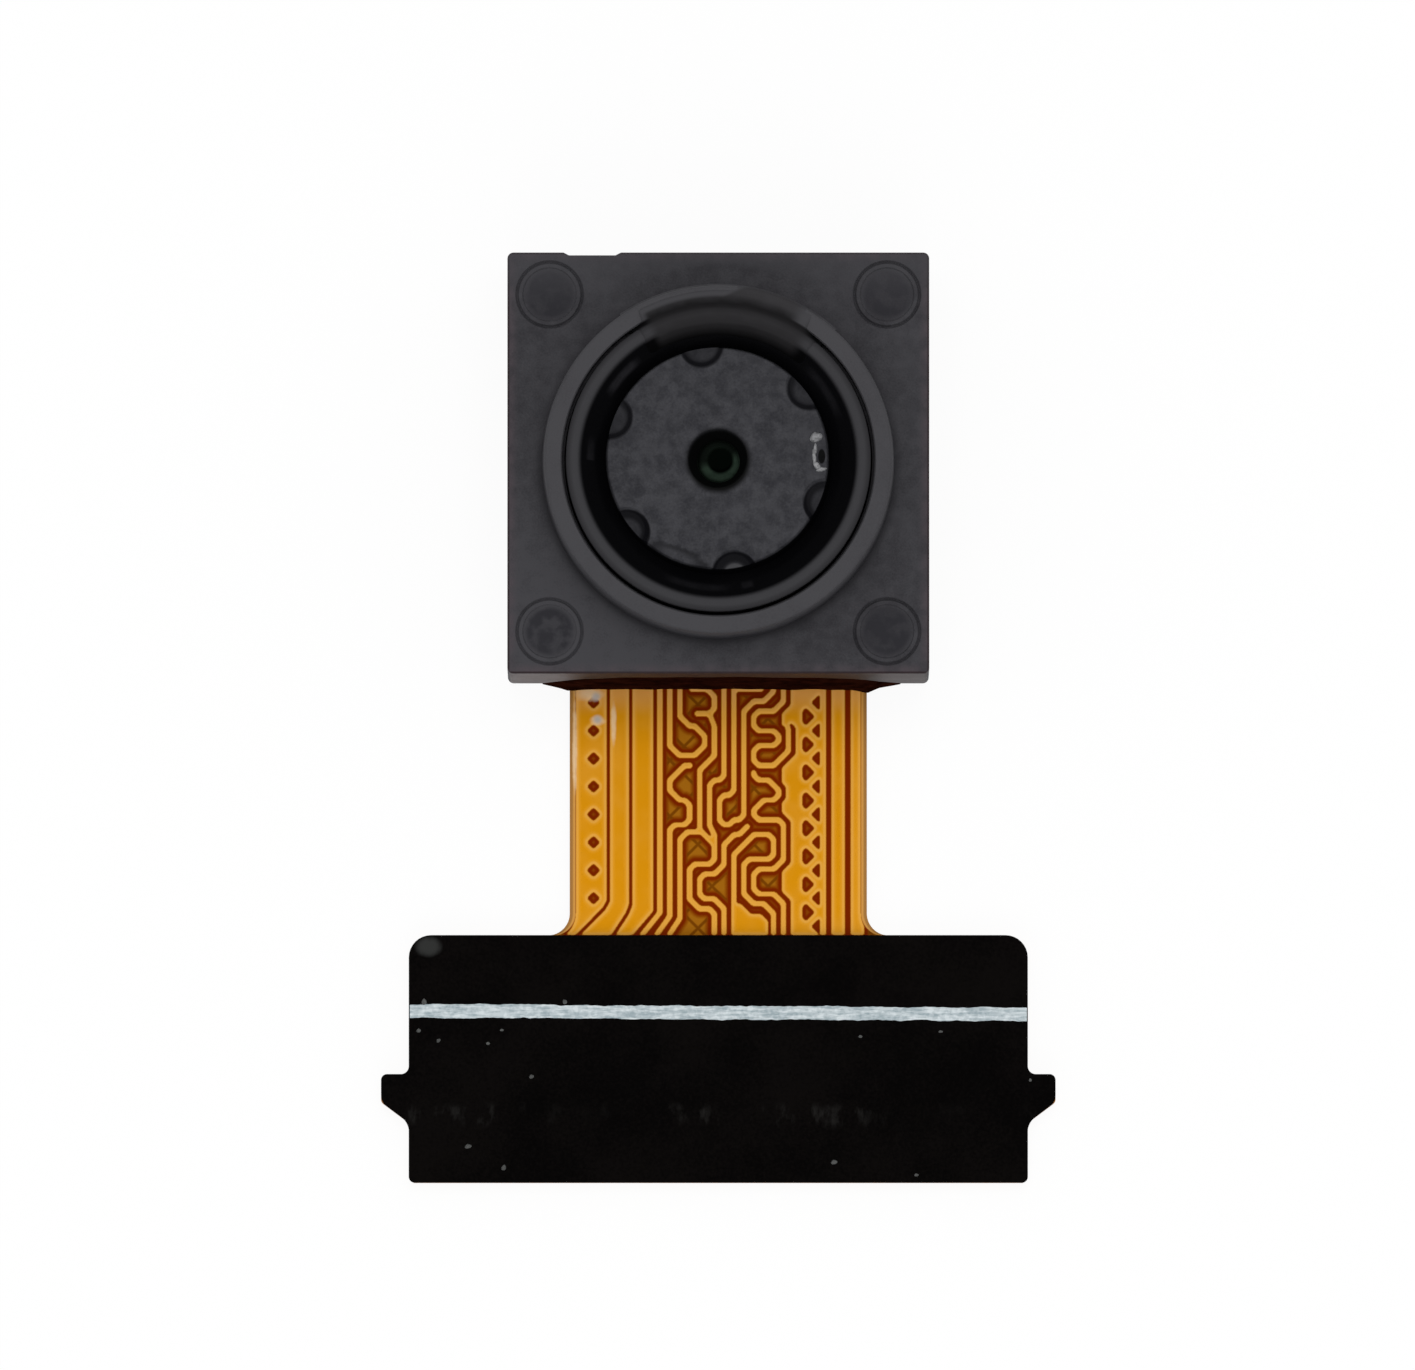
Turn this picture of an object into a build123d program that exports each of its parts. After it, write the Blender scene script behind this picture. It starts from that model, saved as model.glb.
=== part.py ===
import os
from math import sqrt

from build123d import *

# Compact fixed-focus camera module on a flexible printed circuit.
# The origin lies on the optical axis at the back mounting face.
# +Z is the way the lens looks, and the tail leaves towards -Y.
# All sizes are in millimetres.

# Flexible circuit, layer by layer from the back
back_plate_thickness = 0.2
coverlay_thickness = 0.03
copper_thickness = 0.02
film_thickness = 0.05

back_coverlay_z = back_plate_thickness
back_copper_z = back_coverlay_z + coverlay_thickness
film_z = back_copper_z + copper_thickness
front_copper_z = film_z + film_thickness
front_coverlay_z = front_copper_z + copper_thickness
flex_top_z = front_coverlay_z + coverlay_thickness

# Flexible circuit, outline
head_width = 8.5
pad_inset = 0.05
pad_corner_cut = 0.15
neck_width = 6.0
neck_length = 5.1
junction_radius = 0.45
tail_width = 12.5
tail_height = 5.0
shoulder_radius = 0.45
tail_corner_cut = 0.1
ear_reach = 0.56
ear_height = 0.56
ear_setback = 1.63
ear_slope = 0.42
ear_radius = 0.12

neck_left = -neck_width / 2
neck_top = -head_width / 2
tail_top = neck_top - neck_length
tail_bottom = tail_top - tail_height
neck_middle = (neck_top + tail_top) / 2
pad_width = head_width - 2 * pad_inset

# Copper pattern in the neck
copper_margin = 0.12
plane_corner_cut = 0.3
trace_width = 0.1
trace_clearance = 0.1
corner_sides = 8
strip_gap = 0.075
right_strip_width = 0.27
neck_columns = 60
neck_rows = 51
top_row = -0.6
first_signal_column = 18.2
column_step = neck_width / neck_columns
row_step = neck_length / neck_rows
hatch_pitch = 0.4
left_hatch_window = 0.2
right_hatch_window = 0.26
hatch_lead = 0.1
left_window_column = 4.8
right_window_column = 47.7
inner_border_column = 46.4
outer_border_column = 51.2
border_width = 0.12

# Connector end of the tail
contact_count = 24
contact_pitch = 0.5
contact_width = 0.3
contact_length = 3.0
contact_end_margin = 0.15
contact_top_margin = 0.25
stiffener_adhesive_thickness = 0.05
stiffener_thickness = 0.18
adhesive_inset = 0.05
adhesive_corner_cut = 0.3
line_height = 3.43
line_width = 0.27
line_thickness = 0.015
line_inset = 0.02

# Lens holder
holder_adhesive_thickness = 0.03
holder_wall = 0.6
holder_height = 3.4
holder_corner_radius = 0.12
holder_edge_chamfer = 0.04
cavity_height = 1.35
partition_thickness = 0.3
image_window_width = 4.4
image_window_height = 3.6
collar_wall = 0.32
collar_height = 1.17
collar_edge_chamfer = 0.05
mark_inset = 0.85
mark_radius = 0.67
mark_groove_width = 0.08
mark_groove_depth = 0.05
mark_disc_depth = 0.01
gate_left = -3.16
gate_length = 1.21
gate_ramp = 0.16
gate_depth = 0.09
gate_height = 1.5
bead_reach = 0.08
bead_height = 1.2
bead_overhang = 0.35
bead_waist_reach = 0.03
bead_waist_height = 0.54

holder_base_z = flex_top_z + holder_adhesive_thickness
ledge_z = holder_base_z + cavity_height
bore_floor_z = ledge_z + partition_thickness
front_face_z = holder_base_z + holder_height
collar_top_z = front_face_z + collar_height
cavity_width = head_width - 2 * holder_wall
mark_offset = head_width / 2 - mark_inset

# Lens barrel and its stack of elements
barrel_radius = 3.07
thread_clearance = 0.03
mouth_clearance = 0.12
mouth_depth = 0.6
barrel_floor_gap = 0.07
rim_rise = 0.05
rim_width = 0.24
rim_edge_chamfer = 0.06
funnel_width = 0.34
funnel_depth = 0.5
moat_width = 0.16
moat_depth = 0.62
plate_depth = 0.42
plate_thickness = 0.45
notch_count = 6
notch_radius = 0.46
notch_depth = 0.1
notch_angle = 38.3
aperture_radius = 0.55
aperture_taper = 0.12
aperture_land = 0.1
stack_clearance = 0.02
front_lens_radius = 1.5
front_lens_edge = 0.45
front_dome_rise = 0.06
lens_spacer_thickness = 0.3
lens_spacer_hole = 1.1
rear_lens_radius = 2.18
rear_lens_edge = 0.66
rear_dome_radius = 1.4
rear_dome_rise = 0.16
retainer_thickness = 0.3
retainer_hole = 1.7

bore_radius = barrel_radius + thread_clearance
mouth_radius = barrel_radius + mouth_clearance
collar_radius = mouth_radius + collar_wall
barrel_bottom_z = bore_floor_z + barrel_floor_gap
barrel_top_z = collar_top_z + rim_rise
funnel_radius = barrel_radius - rim_width
moat_radius = funnel_radius - funnel_width
plate_radius = moat_radius - moat_width
plate_z = barrel_top_z - plate_depth
front_seat_z = plate_z - plate_thickness
rear_seat_z = front_seat_z - front_lens_edge
rear_lens_z = rear_seat_z - lens_spacer_thickness
retainer_top_z = rear_lens_z - rear_lens_edge
aperture_land_radius = aperture_radius - aperture_taper

# Glue that locks the barrel in the collar's slot
slot_start_angle = 62.8
slot_sweep_angle = 53.0
slot_depth = 0.36
glue_gap = 0.01
glue_height = 0.26
glue_edge_chamfer = 0.07

# Image sensor package and its neighbours
sensor_width = 5.2
sensor_length = 4.8
die_thickness = 0.2
dam_thickness = 0.06
dam_width = 0.45
cover_glass_thickness = 0.4
joint_width = 0.3
joint_height = 0.18
joint_columns = 5
joint_rows = 4
joint_pitch_x = 0.95
joint_pitch_y = 1.15
solder_pad_width = 0.36
filter_width = 5.8
filter_thickness = 0.3
filter_adhesive_thickness = 0.03
filter_adhesive_width = 0.45
capacitor_length = 0.6
capacitor_width = 0.3
capacitor_height = 0.3
terminal_length = 0.14
capacitor_row_distance = 1.2

joint_z = front_copper_z + copper_thickness
die_z = joint_z + joint_height
dam_z = die_z + die_thickness
cover_glass_z = dam_z + dam_thickness
filter_z = ledge_z - filter_adhesive_thickness - filter_thickness
capacitor_offset = (cavity_width + sensor_width) / 4


def neck_point(column, row):
    # A place in the neck, counted in layout columns from its left edge and rows from its top
    return (neck_left + column * column_step, neck_top + (top_row - row) * row_step)


def signal_points(steps):
    # The corners of a signal trace, with columns counted from the first signal trace
    return [neck_point(first_signal_column + column, row) for column, row in steps]


def draw_trace(points, width):
    # A copper run of constant width with mitred corners, added to the sketch in hand
    with BuildLine() as route:
        Polyline(*points)
    trace(route.line, line_width=width)


def cap_profile(axis_z, edge_radius, edge_z):
    # Half of a spherical lens surface, from its vertex on the axis out to its edge
    sag = edge_z - axis_z
    sphere_radius = (edge_radius**2 + sag**2) / (2 * abs(sag))
    half = edge_radius / 2
    drop = sphere_radius - sqrt(sphere_radius**2 - half**2)
    middle = (half, axis_z + (drop if sag > 0 else -drop))
    ThreePointArc((0, axis_z), middle, (edge_radius, edge_z))


# Routes of the serpentine signal traces: each pair is a column and a row.
# The detours give every signal the same length between sensor and connector.
first_signal = [(0, -1), (0, 45.8), (-4.2, 51)]
upper_loop = [(2, -1), (2, 12), (4, 14), (7, 14), (9, 12), (9, 10), (7, 8), (6, 8), (4, 6), (4, -1)]
second_signal = [
    (6.5, 16), (5, 16), (2, 19), (2, 21), (4, 23), (5, 23), (6, 24),
    (6, 27), (5, 28), (3, 28), (2, 29), (2, 46.5), (-1.2, 51),
]
hook_trace = [(6, 0.5), (9.5, 0.5), (11, 2), (11, 4.5), (10, 5.5), (7, 5.5)]
third_signal = [(10, 5.5), (11, 8), (11, 14), (8, 17), (8, 29), (11, 32)]
third_branch = [(8, 29.5), (5.5, 29.5), (4, 31), (4, 47), (1.4, 51)]
fourth_signal = [
    (13, -1), (13, 18), (12, 19), (11, 19), (10, 20), (10, 28), (11, 30), (11, 35),
    (10, 36), (7, 36), (6, 37), (6, 43), (8, 45), (10, 45), (11, 46), (11, 51),
]
fifth_signal = [
    (18, 28), (16, 30), (15, 30), (13, 32), (13, 36), (11, 38), (9, 38),
    (8, 39), (8, 42), (9, 43), (11, 43), (13, 45), (13, 51),
]
sixth_signal = [
    (21, 0.5), (15, 0.5), (15, 21), (14, 22), (13, 22), (12, 23), (12, 27), (13, 28),
    (14, 28), (15, 27), (16, 27), (17, 26), (17, 5), (19, 3), (21, 3), (23, 1), (23, -1),
]
seventh_signal = [
    (15, 51), (15, 34), (19, 30), (22, 30), (23, 31), (23, 34), (22, 35), (18, 35),
    (17, 36), (17, 42), (19, 44), (21, 44), (23, 46), (23, 51),
]
upper_serpentine = [
    (25, -1), (25, 3), (23, 5), (20, 5), (19, 6), (19, 8), (20, 9), (23, 9), (24, 10), (24, 11),
    (23, 12), (20, 12), (19, 13), (19, 15), (20, 16), (23, 16), (26, 13), (26, 9), (25.4, 6.8),
]
lower_serpentine = [
    (19, 17), (19, 18), (20, 19), (22, 19), (24, 21), (24, 22), (23, 23), (21, 23),
    (19, 25), (19, 26), (20, 27), (24, 27), (25, 28), (25, 35), (23, 37), (20, 37),
    (19, 38), (19, 41), (20, 42), (23, 42), (25, 44), (25, 51),
]
signals = [
    first_signal, upper_loop, second_signal, hook_trace, third_signal, third_branch,
    fourth_signal, fifth_signal, sixth_signal, seventh_signal, upper_serpentine, lower_serpentine,
]

# Broad supply and ground areas, with their corners as columns and rows.
# Two gaps divide the left area into a hatched ground and two supply strips.
left_area_corners = [(-1, -1), (16.8, -1), (16.8, 45.5), (12.1, 51), (-9, 51)]
left_area_gaps = [
    [(7.8, -2), (7.8, 43.4), (6.9, 45), (0, 52)],
    [(12.3, -2), (12.3, 44.2), (11.6, 46), (7.7, 52)],
]
right_strip_columns = [54.2, 58.1]
right_ground_corners = [(42.9, -1), (51.8, -1), (51.8, 51), (42.9, 51)]
lower_ground_corners = [(33, 44), (34.5, 44), (36.5, 46), (38.5, 46), (40, 47.5), (40, 51), (33, 51)]

# Signals that the right ground keeps away from. The upper serpentine ends in that ground.
ground_keep_away = [sixth_signal, seventh_signal, upper_serpentine[:-1], lower_serpentine]
keep_away = trace_width + 2 * trace_clearance

# Outline of the connector end, with a locking ear on each side
with BuildSketch() as tail_outline:
    with Locations((0, (tail_top + tail_bottom) / 2)):
        Rectangle(tail_width, tail_height)
    fillet(vertices().group_by(Axis.Y)[-1], shoulder_radius)
    chamfer(vertices().group_by(Axis.Y)[0], tail_corner_cut)
    ear_bottom = tail_bottom + ear_setback
    ear_root = ear_bottom - ear_slope
    for side in (-1, 1):
        root_x = side * tail_width / 2
        tip_x = side * (tail_width / 2 + ear_reach)
        with BuildLine():
            Polyline(
                (0, ear_root),
                (root_x, ear_root),
                (tip_x, ear_bottom),
                (tip_x, ear_bottom + ear_height),
                (0, ear_bottom + ear_height),
                close=True,
            )
        make_face()
    fillet(
        vertices().filter_by(lambda corner: abs(corner.X) > (tail_width + ear_reach) / 2),
        ear_radius,
    )

# Outline of the pad under the sensor
with BuildSketch() as pad_outline:
    Rectangle(pad_width, pad_width)
    chamfer(vertices(), pad_corner_cut)

# Outline of the whole flexible circuit: sensor pad, neck and tail
with BuildSketch() as flex_outline:
    add(pad_outline.sketch)
    with Locations((0, neck_middle)):
        Rectangle(neck_width, neck_length + 2 * pad_inset)
    add(tail_outline.sketch)
    fillet(
        vertices()
        .filter_by(lambda corner: abs(abs(corner.X) - neck_width / 2) < column_step / 2)
        .filter_by(lambda corner: corner.Y < neck_middle),
        junction_radius,
    )

# Part of the outline above the connector end, where both coverlays meet
with BuildSketch() as body_outline:
    add(flex_outline.sketch)
    with Locations((0, tail_bottom)):
        Rectangle(2 * tail_width, 2 * tail_height, mode=Mode.SUBTRACT)

# Area of neck and tail that copper may fill, held back from every edge and from the contacts
contact_zone = contact_end_margin + contact_length + contact_top_margin
plane_width = neck_width - 2 * copper_margin
plane_top = tail_top - copper_margin
plane_bottom = tail_bottom + contact_zone + copper_margin
with BuildSketch() as copper_area:
    with Locations((0, neck_middle)):
        Rectangle(plane_width, neck_length + 2 * (pad_inset + copper_margin))
    with Locations((0, (plane_top + plane_bottom) / 2)):
        Rectangle(tail_width - 2 * copper_margin, plane_top - plane_bottom)
    sides = (vertices().group_by(Axis.X)[0], vertices().group_by(Axis.X)[-1])
    chamfer([side.sort_by(Axis.Y)[-1] for side in sides], plane_corner_cut)
    fillet(
        vertices()
        .filter_by(lambda corner: abs(abs(corner.X) - plane_width / 2) < column_step / 2)
        .filter_by(lambda corner: corner.Y < neck_middle),
        junction_radius + copper_margin,
    )

# Runs of the front copper in the neck: serpentine signals, supply strips and ground
with BuildSketch() as copper_runs:
    with BuildLine():
        Polyline(*[neck_point(column, row) for column, row in right_ground_corners], close=True)
    make_face()
    for steps in ground_keep_away:
        corners = signal_points(steps)
        with Locations(*corners):
            RegularPolygon(
                keep_away / 2, corner_sides, major_radius=False, rotation=180 / corner_sides,
                mode=Mode.SUBTRACT,
            )
        for start, end in zip(corners, corners[1:]):
            with BuildLine() as leg:
                Line(start, end)
            trace(leg.line, line_width=keep_away, mode=Mode.SUBTRACT)
    for corners in (left_area_corners, lower_ground_corners):
        with BuildLine():
            Polyline(*[neck_point(column, row) for column, row in corners], close=True)
        make_face()
    for steps in left_area_gaps:
        with BuildLine() as gap:
            Polyline(*[neck_point(column, row) for column, row in steps])
        trace(gap.line, line_width=strip_gap, mode=Mode.SUBTRACT)
    for steps in signals:
        draw_trace(signal_points(steps), trace_width)
    for column in right_strip_columns:
        draw_trace([neck_point(column, -1), neck_point(column, neck_rows)], right_strip_width)
    add(copper_area.sketch, mode=Mode.INTERSECT)
    with Locations((0, neck_middle)):
        Rectangle(2 * tail_width, neck_length, mode=Mode.INTERSECT)

# The same copper with the windows of its hatched ground, and the border traces beside them
with BuildSketch() as front_pattern:
    add(copper_runs.sketch)
    hatch_period = hatch_pitch * sqrt(2)
    window_count = round(neck_length / hatch_period) - 1
    hatch_middle = neck_middle - hatch_lead
    left_windows_x = neck_point(left_window_column, 0)[0]
    right_windows_x = neck_point(right_window_column, 0)[0]
    window_columns = [
        (left_windows_x, hatch_middle + hatch_period / 2, window_count, left_hatch_window),
        (right_windows_x, hatch_middle, window_count, right_hatch_window),
        (right_windows_x + hatch_period / 2, hatch_middle, window_count + 1, right_hatch_window),
    ]
    for windows_x, windows_y, count, side in window_columns:
        with Locations((windows_x, windows_y)):
            with GridLocations(hatch_period, hatch_period, 1, count):
                Rectangle(side, side, rotation=45, mode=Mode.SUBTRACT)
    for column in (inner_border_column, outer_border_column):
        draw_trace([neck_point(column, top_row), neck_point(column, top_row + neck_rows)], border_width)

os.makedirs("parts", exist_ok=True)

# Plate behind the sensor that keeps the pad flat and is the mounting face
with BuildPart() as back_stiffener:
    with BuildSketch():
        add(pad_outline.sketch)
    extrude(amount=back_plate_thickness)

# Back coverlay, open over the contact fingers
with BuildPart() as back_coverlay:
    with BuildSketch(Plane.XY.offset(back_coverlay_z)):
        add(flex_outline.sketch)
        with Locations((0, tail_bottom)):
            Rectangle(2 * tail_width, 2 * contact_zone, mode=Mode.SUBTRACT)
    extrude(amount=coverlay_thickness)

# Back copper: a ground plane that ends before the contact fingers
with BuildPart() as back_ground_plane:
    with BuildSketch(Plane.XY.offset(back_copper_z)):
        Rectangle(pad_width - 2 * copper_margin, pad_width - 2 * copper_margin)
        add(copper_area.sketch)
    extrude(amount=copper_thickness)

# Gold-plated fingers on the back of the tail
with BuildPart() as contact_fingers:
    with BuildSketch(Plane.XY.offset(back_copper_z)):
        with Locations((0, tail_bottom + contact_end_margin + contact_length / 2)):
            with GridLocations(contact_pitch, contact_pitch, contact_count, 1):
                Rectangle(contact_width, contact_length)
    extrude(amount=copper_thickness)

# Base film
with BuildPart() as flex_base_film:
    with BuildSketch(Plane.XY.offset(film_z)):
        add(flex_outline.sketch)
    extrude(amount=film_thickness)

# Front copper of the neck
with BuildPart() as front_traces:
    with BuildSketch(Plane.XY.offset(front_copper_z)):
        add(front_pattern.sketch)
    extrude(amount=copper_thickness)

# Front coverlay, open inside the holder. The copper under it shows as relief, and the film
# bridges the small windows of the hatched ground.
with BuildPart() as front_coverlay:
    with BuildSketch(Plane.XY.offset(front_coverlay_z)):
        add(body_outline.sketch)
        Rectangle(cavity_width, cavity_width, mode=Mode.SUBTRACT)
    extrude(amount=coverlay_thickness)
    with BuildSketch(Plane.XY.offset(flex_top_z)):
        add(copper_runs.sketch)
        with Locations((0, neck_top)):
            Rectangle(2 * tail_width, 2 * bead_reach, mode=Mode.SUBTRACT)
    extrude(amount=copper_thickness)

# Adhesive and stiffener on the front of the tail
with BuildPart() as stiffener_adhesive:
    with BuildSketch(Plane.XY.offset(front_copper_z)):
        with Locations((0, (tail_top + tail_bottom) / 2)):
            Rectangle(tail_width - 2 * adhesive_inset, tail_height - 2 * adhesive_inset)
        chamfer(vertices().group_by(Axis.Y)[-1], adhesive_corner_cut)
        chamfer(vertices().group_by(Axis.Y)[0], tail_corner_cut)
    extrude(amount=stiffener_adhesive_thickness)

stiffener_z = front_copper_z + stiffener_adhesive_thickness
with BuildPart() as tail_stiffener:
    with BuildSketch(Plane.XY.offset(stiffener_z)):
        add(tail_outline.sketch)
    extrude(amount=stiffener_thickness)

# White line that shows when the tail is fully in its connector
with BuildPart() as alignment_line:
    with BuildSketch(Plane.XY.offset(stiffener_z + stiffener_thickness)):
        with Locations((0, tail_bottom + line_height)):
            Rectangle(tail_width - 2 * line_inset, line_width)
    extrude(amount=line_thickness)

# Copper pads under the sensor and the capacitors
capacitor_locations = [
    Location((side * capacitor_offset, level * capacitor_row_distance, 0), (0, 0, 90))
    for side in (-1, 1)
    for level in (-1, 1)
]
terminal_step = (capacitor_length - terminal_length) / 2

with BuildPart() as solder_pads:
    with BuildSketch(Plane.XY.offset(front_copper_z)):
        with GridLocations(joint_pitch_x, joint_pitch_y, joint_columns, joint_rows):
            Rectangle(solder_pad_width, solder_pad_width)
        with Locations(*capacitor_locations):
            with GridLocations(2 * terminal_step, capacitor_width, 2, 1):
                Rectangle(terminal_length, capacitor_width)
    extrude(amount=copper_thickness)

# Solder joints between those pads and the sensor's lands
with BuildPart() as solder_joints:
    with BuildSketch(Plane.XY.offset(joint_z)):
        with GridLocations(joint_pitch_x, joint_pitch_y, joint_columns, joint_rows):
            Rectangle(joint_width, joint_width)
    extrude(amount=joint_height)

# Silicon die with the dam and the glass that seal it
with BuildPart() as sensor_die:
    with BuildSketch(Plane.XY.offset(die_z)):
        Rectangle(sensor_width, sensor_length)
    extrude(amount=die_thickness)

with BuildPart() as sensor_dam:
    with BuildSketch(Plane.XY.offset(dam_z)):
        Rectangle(sensor_width, sensor_length)
        Rectangle(sensor_width - 2 * dam_width, sensor_length - 2 * dam_width, mode=Mode.SUBTRACT)
    extrude(amount=dam_thickness)

with BuildPart() as sensor_cover_glass:
    with BuildSketch(Plane.XY.offset(cover_glass_z)):
        Rectangle(sensor_width, sensor_length)
    extrude(amount=cover_glass_thickness)

# Ceramic capacitors beside the sensor, and their metal end caps
with BuildPart() as capacitor_bodies:
    with BuildSketch(Plane.XY.offset(joint_z)):
        with Locations(*capacitor_locations):
            Rectangle(capacitor_length - 2 * terminal_length, capacitor_width)
    extrude(amount=capacitor_height)

with BuildPart() as capacitor_terminals:
    with BuildSketch(Plane.XY.offset(joint_z)):
        with Locations(*capacitor_locations):
            with GridLocations(2 * terminal_step, capacitor_width, 2, 1):
                Rectangle(terminal_length, capacitor_width)
    extrude(amount=capacitor_height)

# Glue ring between the holder's rim and the flexible circuit
with BuildPart() as holder_adhesive:
    with BuildSketch(Plane.XY.offset(flex_top_z)):
        Rectangle(pad_width - 2 * adhesive_inset, pad_width - 2 * adhesive_inset)
        Rectangle(cavity_width + 2 * adhesive_inset, cavity_width + 2 * adhesive_inset, mode=Mode.SUBTRACT)
    extrude(amount=holder_adhesive_thickness)

# Square moulded holder with a round collar, open below over the sensor
with BuildPart() as lens_holder:
    with BuildSketch(Plane.XY.offset(holder_base_z)):
        RectangleRounded(head_width, head_width, holder_corner_radius)
    extrude(amount=holder_height)
    chamfer(faces().sort_by(Axis.Z)[-1].edges(), holder_edge_chamfer)
    with BuildSketch(Plane.XY.offset(front_face_z)):
        Circle(collar_radius)
    extrude(amount=collar_height)
    chamfer(edges().group_by(Axis.Z)[-1], collar_edge_chamfer)
    # Cavity over the sensor, image window and barrel bore
    with BuildSketch(Plane.XY.offset(holder_base_z)):
        Rectangle(cavity_width, cavity_width)
    extrude(amount=cavity_height, mode=Mode.SUBTRACT)
    with BuildSketch(Plane.XY.offset(ledge_z)):
        Rectangle(image_window_width, image_window_height)
    extrude(amount=partition_thickness, mode=Mode.SUBTRACT)
    with BuildSketch(Plane.XY.offset(bore_floor_z)):
        Circle(bore_radius)
    extrude(amount=collar_top_z - bore_floor_z, mode=Mode.SUBTRACT)
    with BuildSketch(Plane.XY.offset(collar_top_z)):
        Circle(mouth_radius)
    extrude(amount=-mouth_depth, mode=Mode.SUBTRACT)
    # Slot in the collar for the glue that locks the barrel
    with BuildSketch(Plane.XY.offset(collar_top_z)):
        with BuildLine():
            slot_arc = CenterArc((0, 0), collar_radius + glue_gap, slot_start_angle, slot_sweep_angle)
            Line(slot_arc @ 1, (0, 0))
            Line((0, 0), slot_arc @ 0)
        make_face()
    extrude(amount=-slot_depth, mode=Mode.SUBTRACT)
    # Round ejector marks in the four corners: a disc in a groove of V section
    with BuildSketch(Plane.XY.offset(front_face_z)):
        with GridLocations(2 * mark_offset, 2 * mark_offset, 2, 2):
            Circle(mark_radius)
    extrude(amount=-mark_groove_depth, mode=Mode.SUBTRACT)
    with Locations(Plane.XY.offset(front_face_z - mark_groove_depth)):
        with GridLocations(2 * mark_offset, 2 * mark_offset, 2, 2):
            Cone(
                mark_radius,
                mark_radius - mark_groove_width,
                mark_groove_depth - mark_disc_depth,
                align=(Align.CENTER, Align.CENTER, Align.MIN),
            )
    # Shallow recess that the moulding gate left in the upper edge
    with BuildSketch(Plane.XY.offset(front_face_z)):
        gate_top = head_width / 2
        with BuildLine():
            Polyline(
                (gate_left, gate_top + gate_depth),
                (gate_left, gate_top),
                (gate_left + gate_ramp, gate_top - gate_depth),
                (gate_left + gate_length - gate_ramp, gate_top - gate_depth),
                (gate_left + gate_length, gate_top),
                (gate_left + gate_length, gate_top + gate_depth),
                close=True,
            )
        make_face()
    extrude(amount=-gate_height, mode=Mode.SUBTRACT)

# Barrel: turned profile with a recessed front plate and a stepped bore
with BuildPart() as lens_barrel:
    with BuildSketch(Plane.XZ):
        with BuildLine():
            Polyline(
                (barrel_radius, barrel_top_z - rim_edge_chamfer),
                (barrel_radius - rim_edge_chamfer, barrel_top_z),
                (funnel_radius + rim_edge_chamfer, barrel_top_z),
                (funnel_radius, barrel_top_z - rim_edge_chamfer),
                (moat_radius, barrel_top_z - funnel_depth),
                (moat_radius, barrel_top_z - moat_depth),
                (plate_radius, barrel_top_z - moat_depth),
                (plate_radius, plate_z),
                (aperture_radius, plate_z),
                (aperture_land_radius, front_seat_z + aperture_land),
                (aperture_land_radius, front_seat_z),
                (front_lens_radius + stack_clearance, front_seat_z),
                (front_lens_radius + stack_clearance, rear_seat_z),
                (rear_lens_radius + stack_clearance, rear_seat_z),
                (rear_lens_radius + stack_clearance, barrel_bottom_z),
                (barrel_radius, barrel_bottom_z),
                close=True,
            )
        make_face()
    revolve(axis=Axis.Z)
    # Half-round notches for the focusing tool
    with BuildSketch(Plane.XY.offset(plate_z)):
        with PolarLocations(plate_radius, notch_count, start_angle=notch_angle):
            Circle(notch_radius)
        Circle(plate_radius, mode=Mode.INTERSECT)
    extrude(amount=-notch_depth, mode=Mode.SUBTRACT)

# Front lens: a small dome in the aperture, and flat behind
with BuildPart() as front_lens:
    with BuildSketch(Plane.XZ):
        front_dome_radius = aperture_land_radius - stack_clearance
        front_dome_z = front_seat_z + front_dome_rise
        with BuildLine():
            cap_profile(front_dome_z, front_dome_radius, front_seat_z)
            Polyline(
                (front_dome_radius, front_seat_z),
                (front_lens_radius, front_seat_z),
                (front_lens_radius, rear_seat_z),
                (0, rear_seat_z),
                (0, front_dome_z),
            )
        make_face()
    revolve(axis=Axis.Z)

# Spacer ring between the two lenses
with BuildPart() as lens_spacer:
    with BuildSketch(Plane.XY.offset(rear_lens_z)):
        Circle(rear_lens_radius)
        Circle(lens_spacer_hole, mode=Mode.SUBTRACT)
    extrude(amount=lens_spacer_thickness)

# Rear lens: flat in front, with a dome behind and a broad flange
with BuildPart() as rear_lens:
    with BuildSketch(Plane.XZ):
        rear_dome_z = retainer_top_z - rear_dome_rise
        with BuildLine():
            Polyline(
                (0, rear_dome_z),
                (0, rear_lens_z),
                (rear_lens_radius, rear_lens_z),
                (rear_lens_radius, retainer_top_z),
                (rear_dome_radius, retainer_top_z),
            )
            cap_profile(rear_dome_z, rear_dome_radius, retainer_top_z)
        make_face()
    revolve(axis=Axis.Z)

# Ring that holds the stack from behind
with BuildPart() as lens_retainer:
    with BuildSketch(Plane.XY.offset(retainer_top_z)):
        Circle(rear_lens_radius)
        Circle(retainer_hole, mode=Mode.SUBTRACT)
    extrude(amount=-retainer_thickness)

# Infrared filter and the glue that holds it under the ledge
with BuildPart() as infrared_filter:
    with BuildSketch(Plane.XY.offset(filter_z)):
        Rectangle(filter_width, filter_width)
    extrude(amount=filter_thickness)

with BuildPart() as filter_adhesive:
    with BuildSketch(Plane.XY.offset(filter_z + filter_thickness)):
        Rectangle(filter_width, filter_width)
        Rectangle(
            filter_width - 2 * filter_adhesive_width,
            filter_width - 2 * filter_adhesive_width,
            mode=Mode.SUBTRACT,
        )
    extrude(amount=filter_adhesive_thickness)

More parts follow.
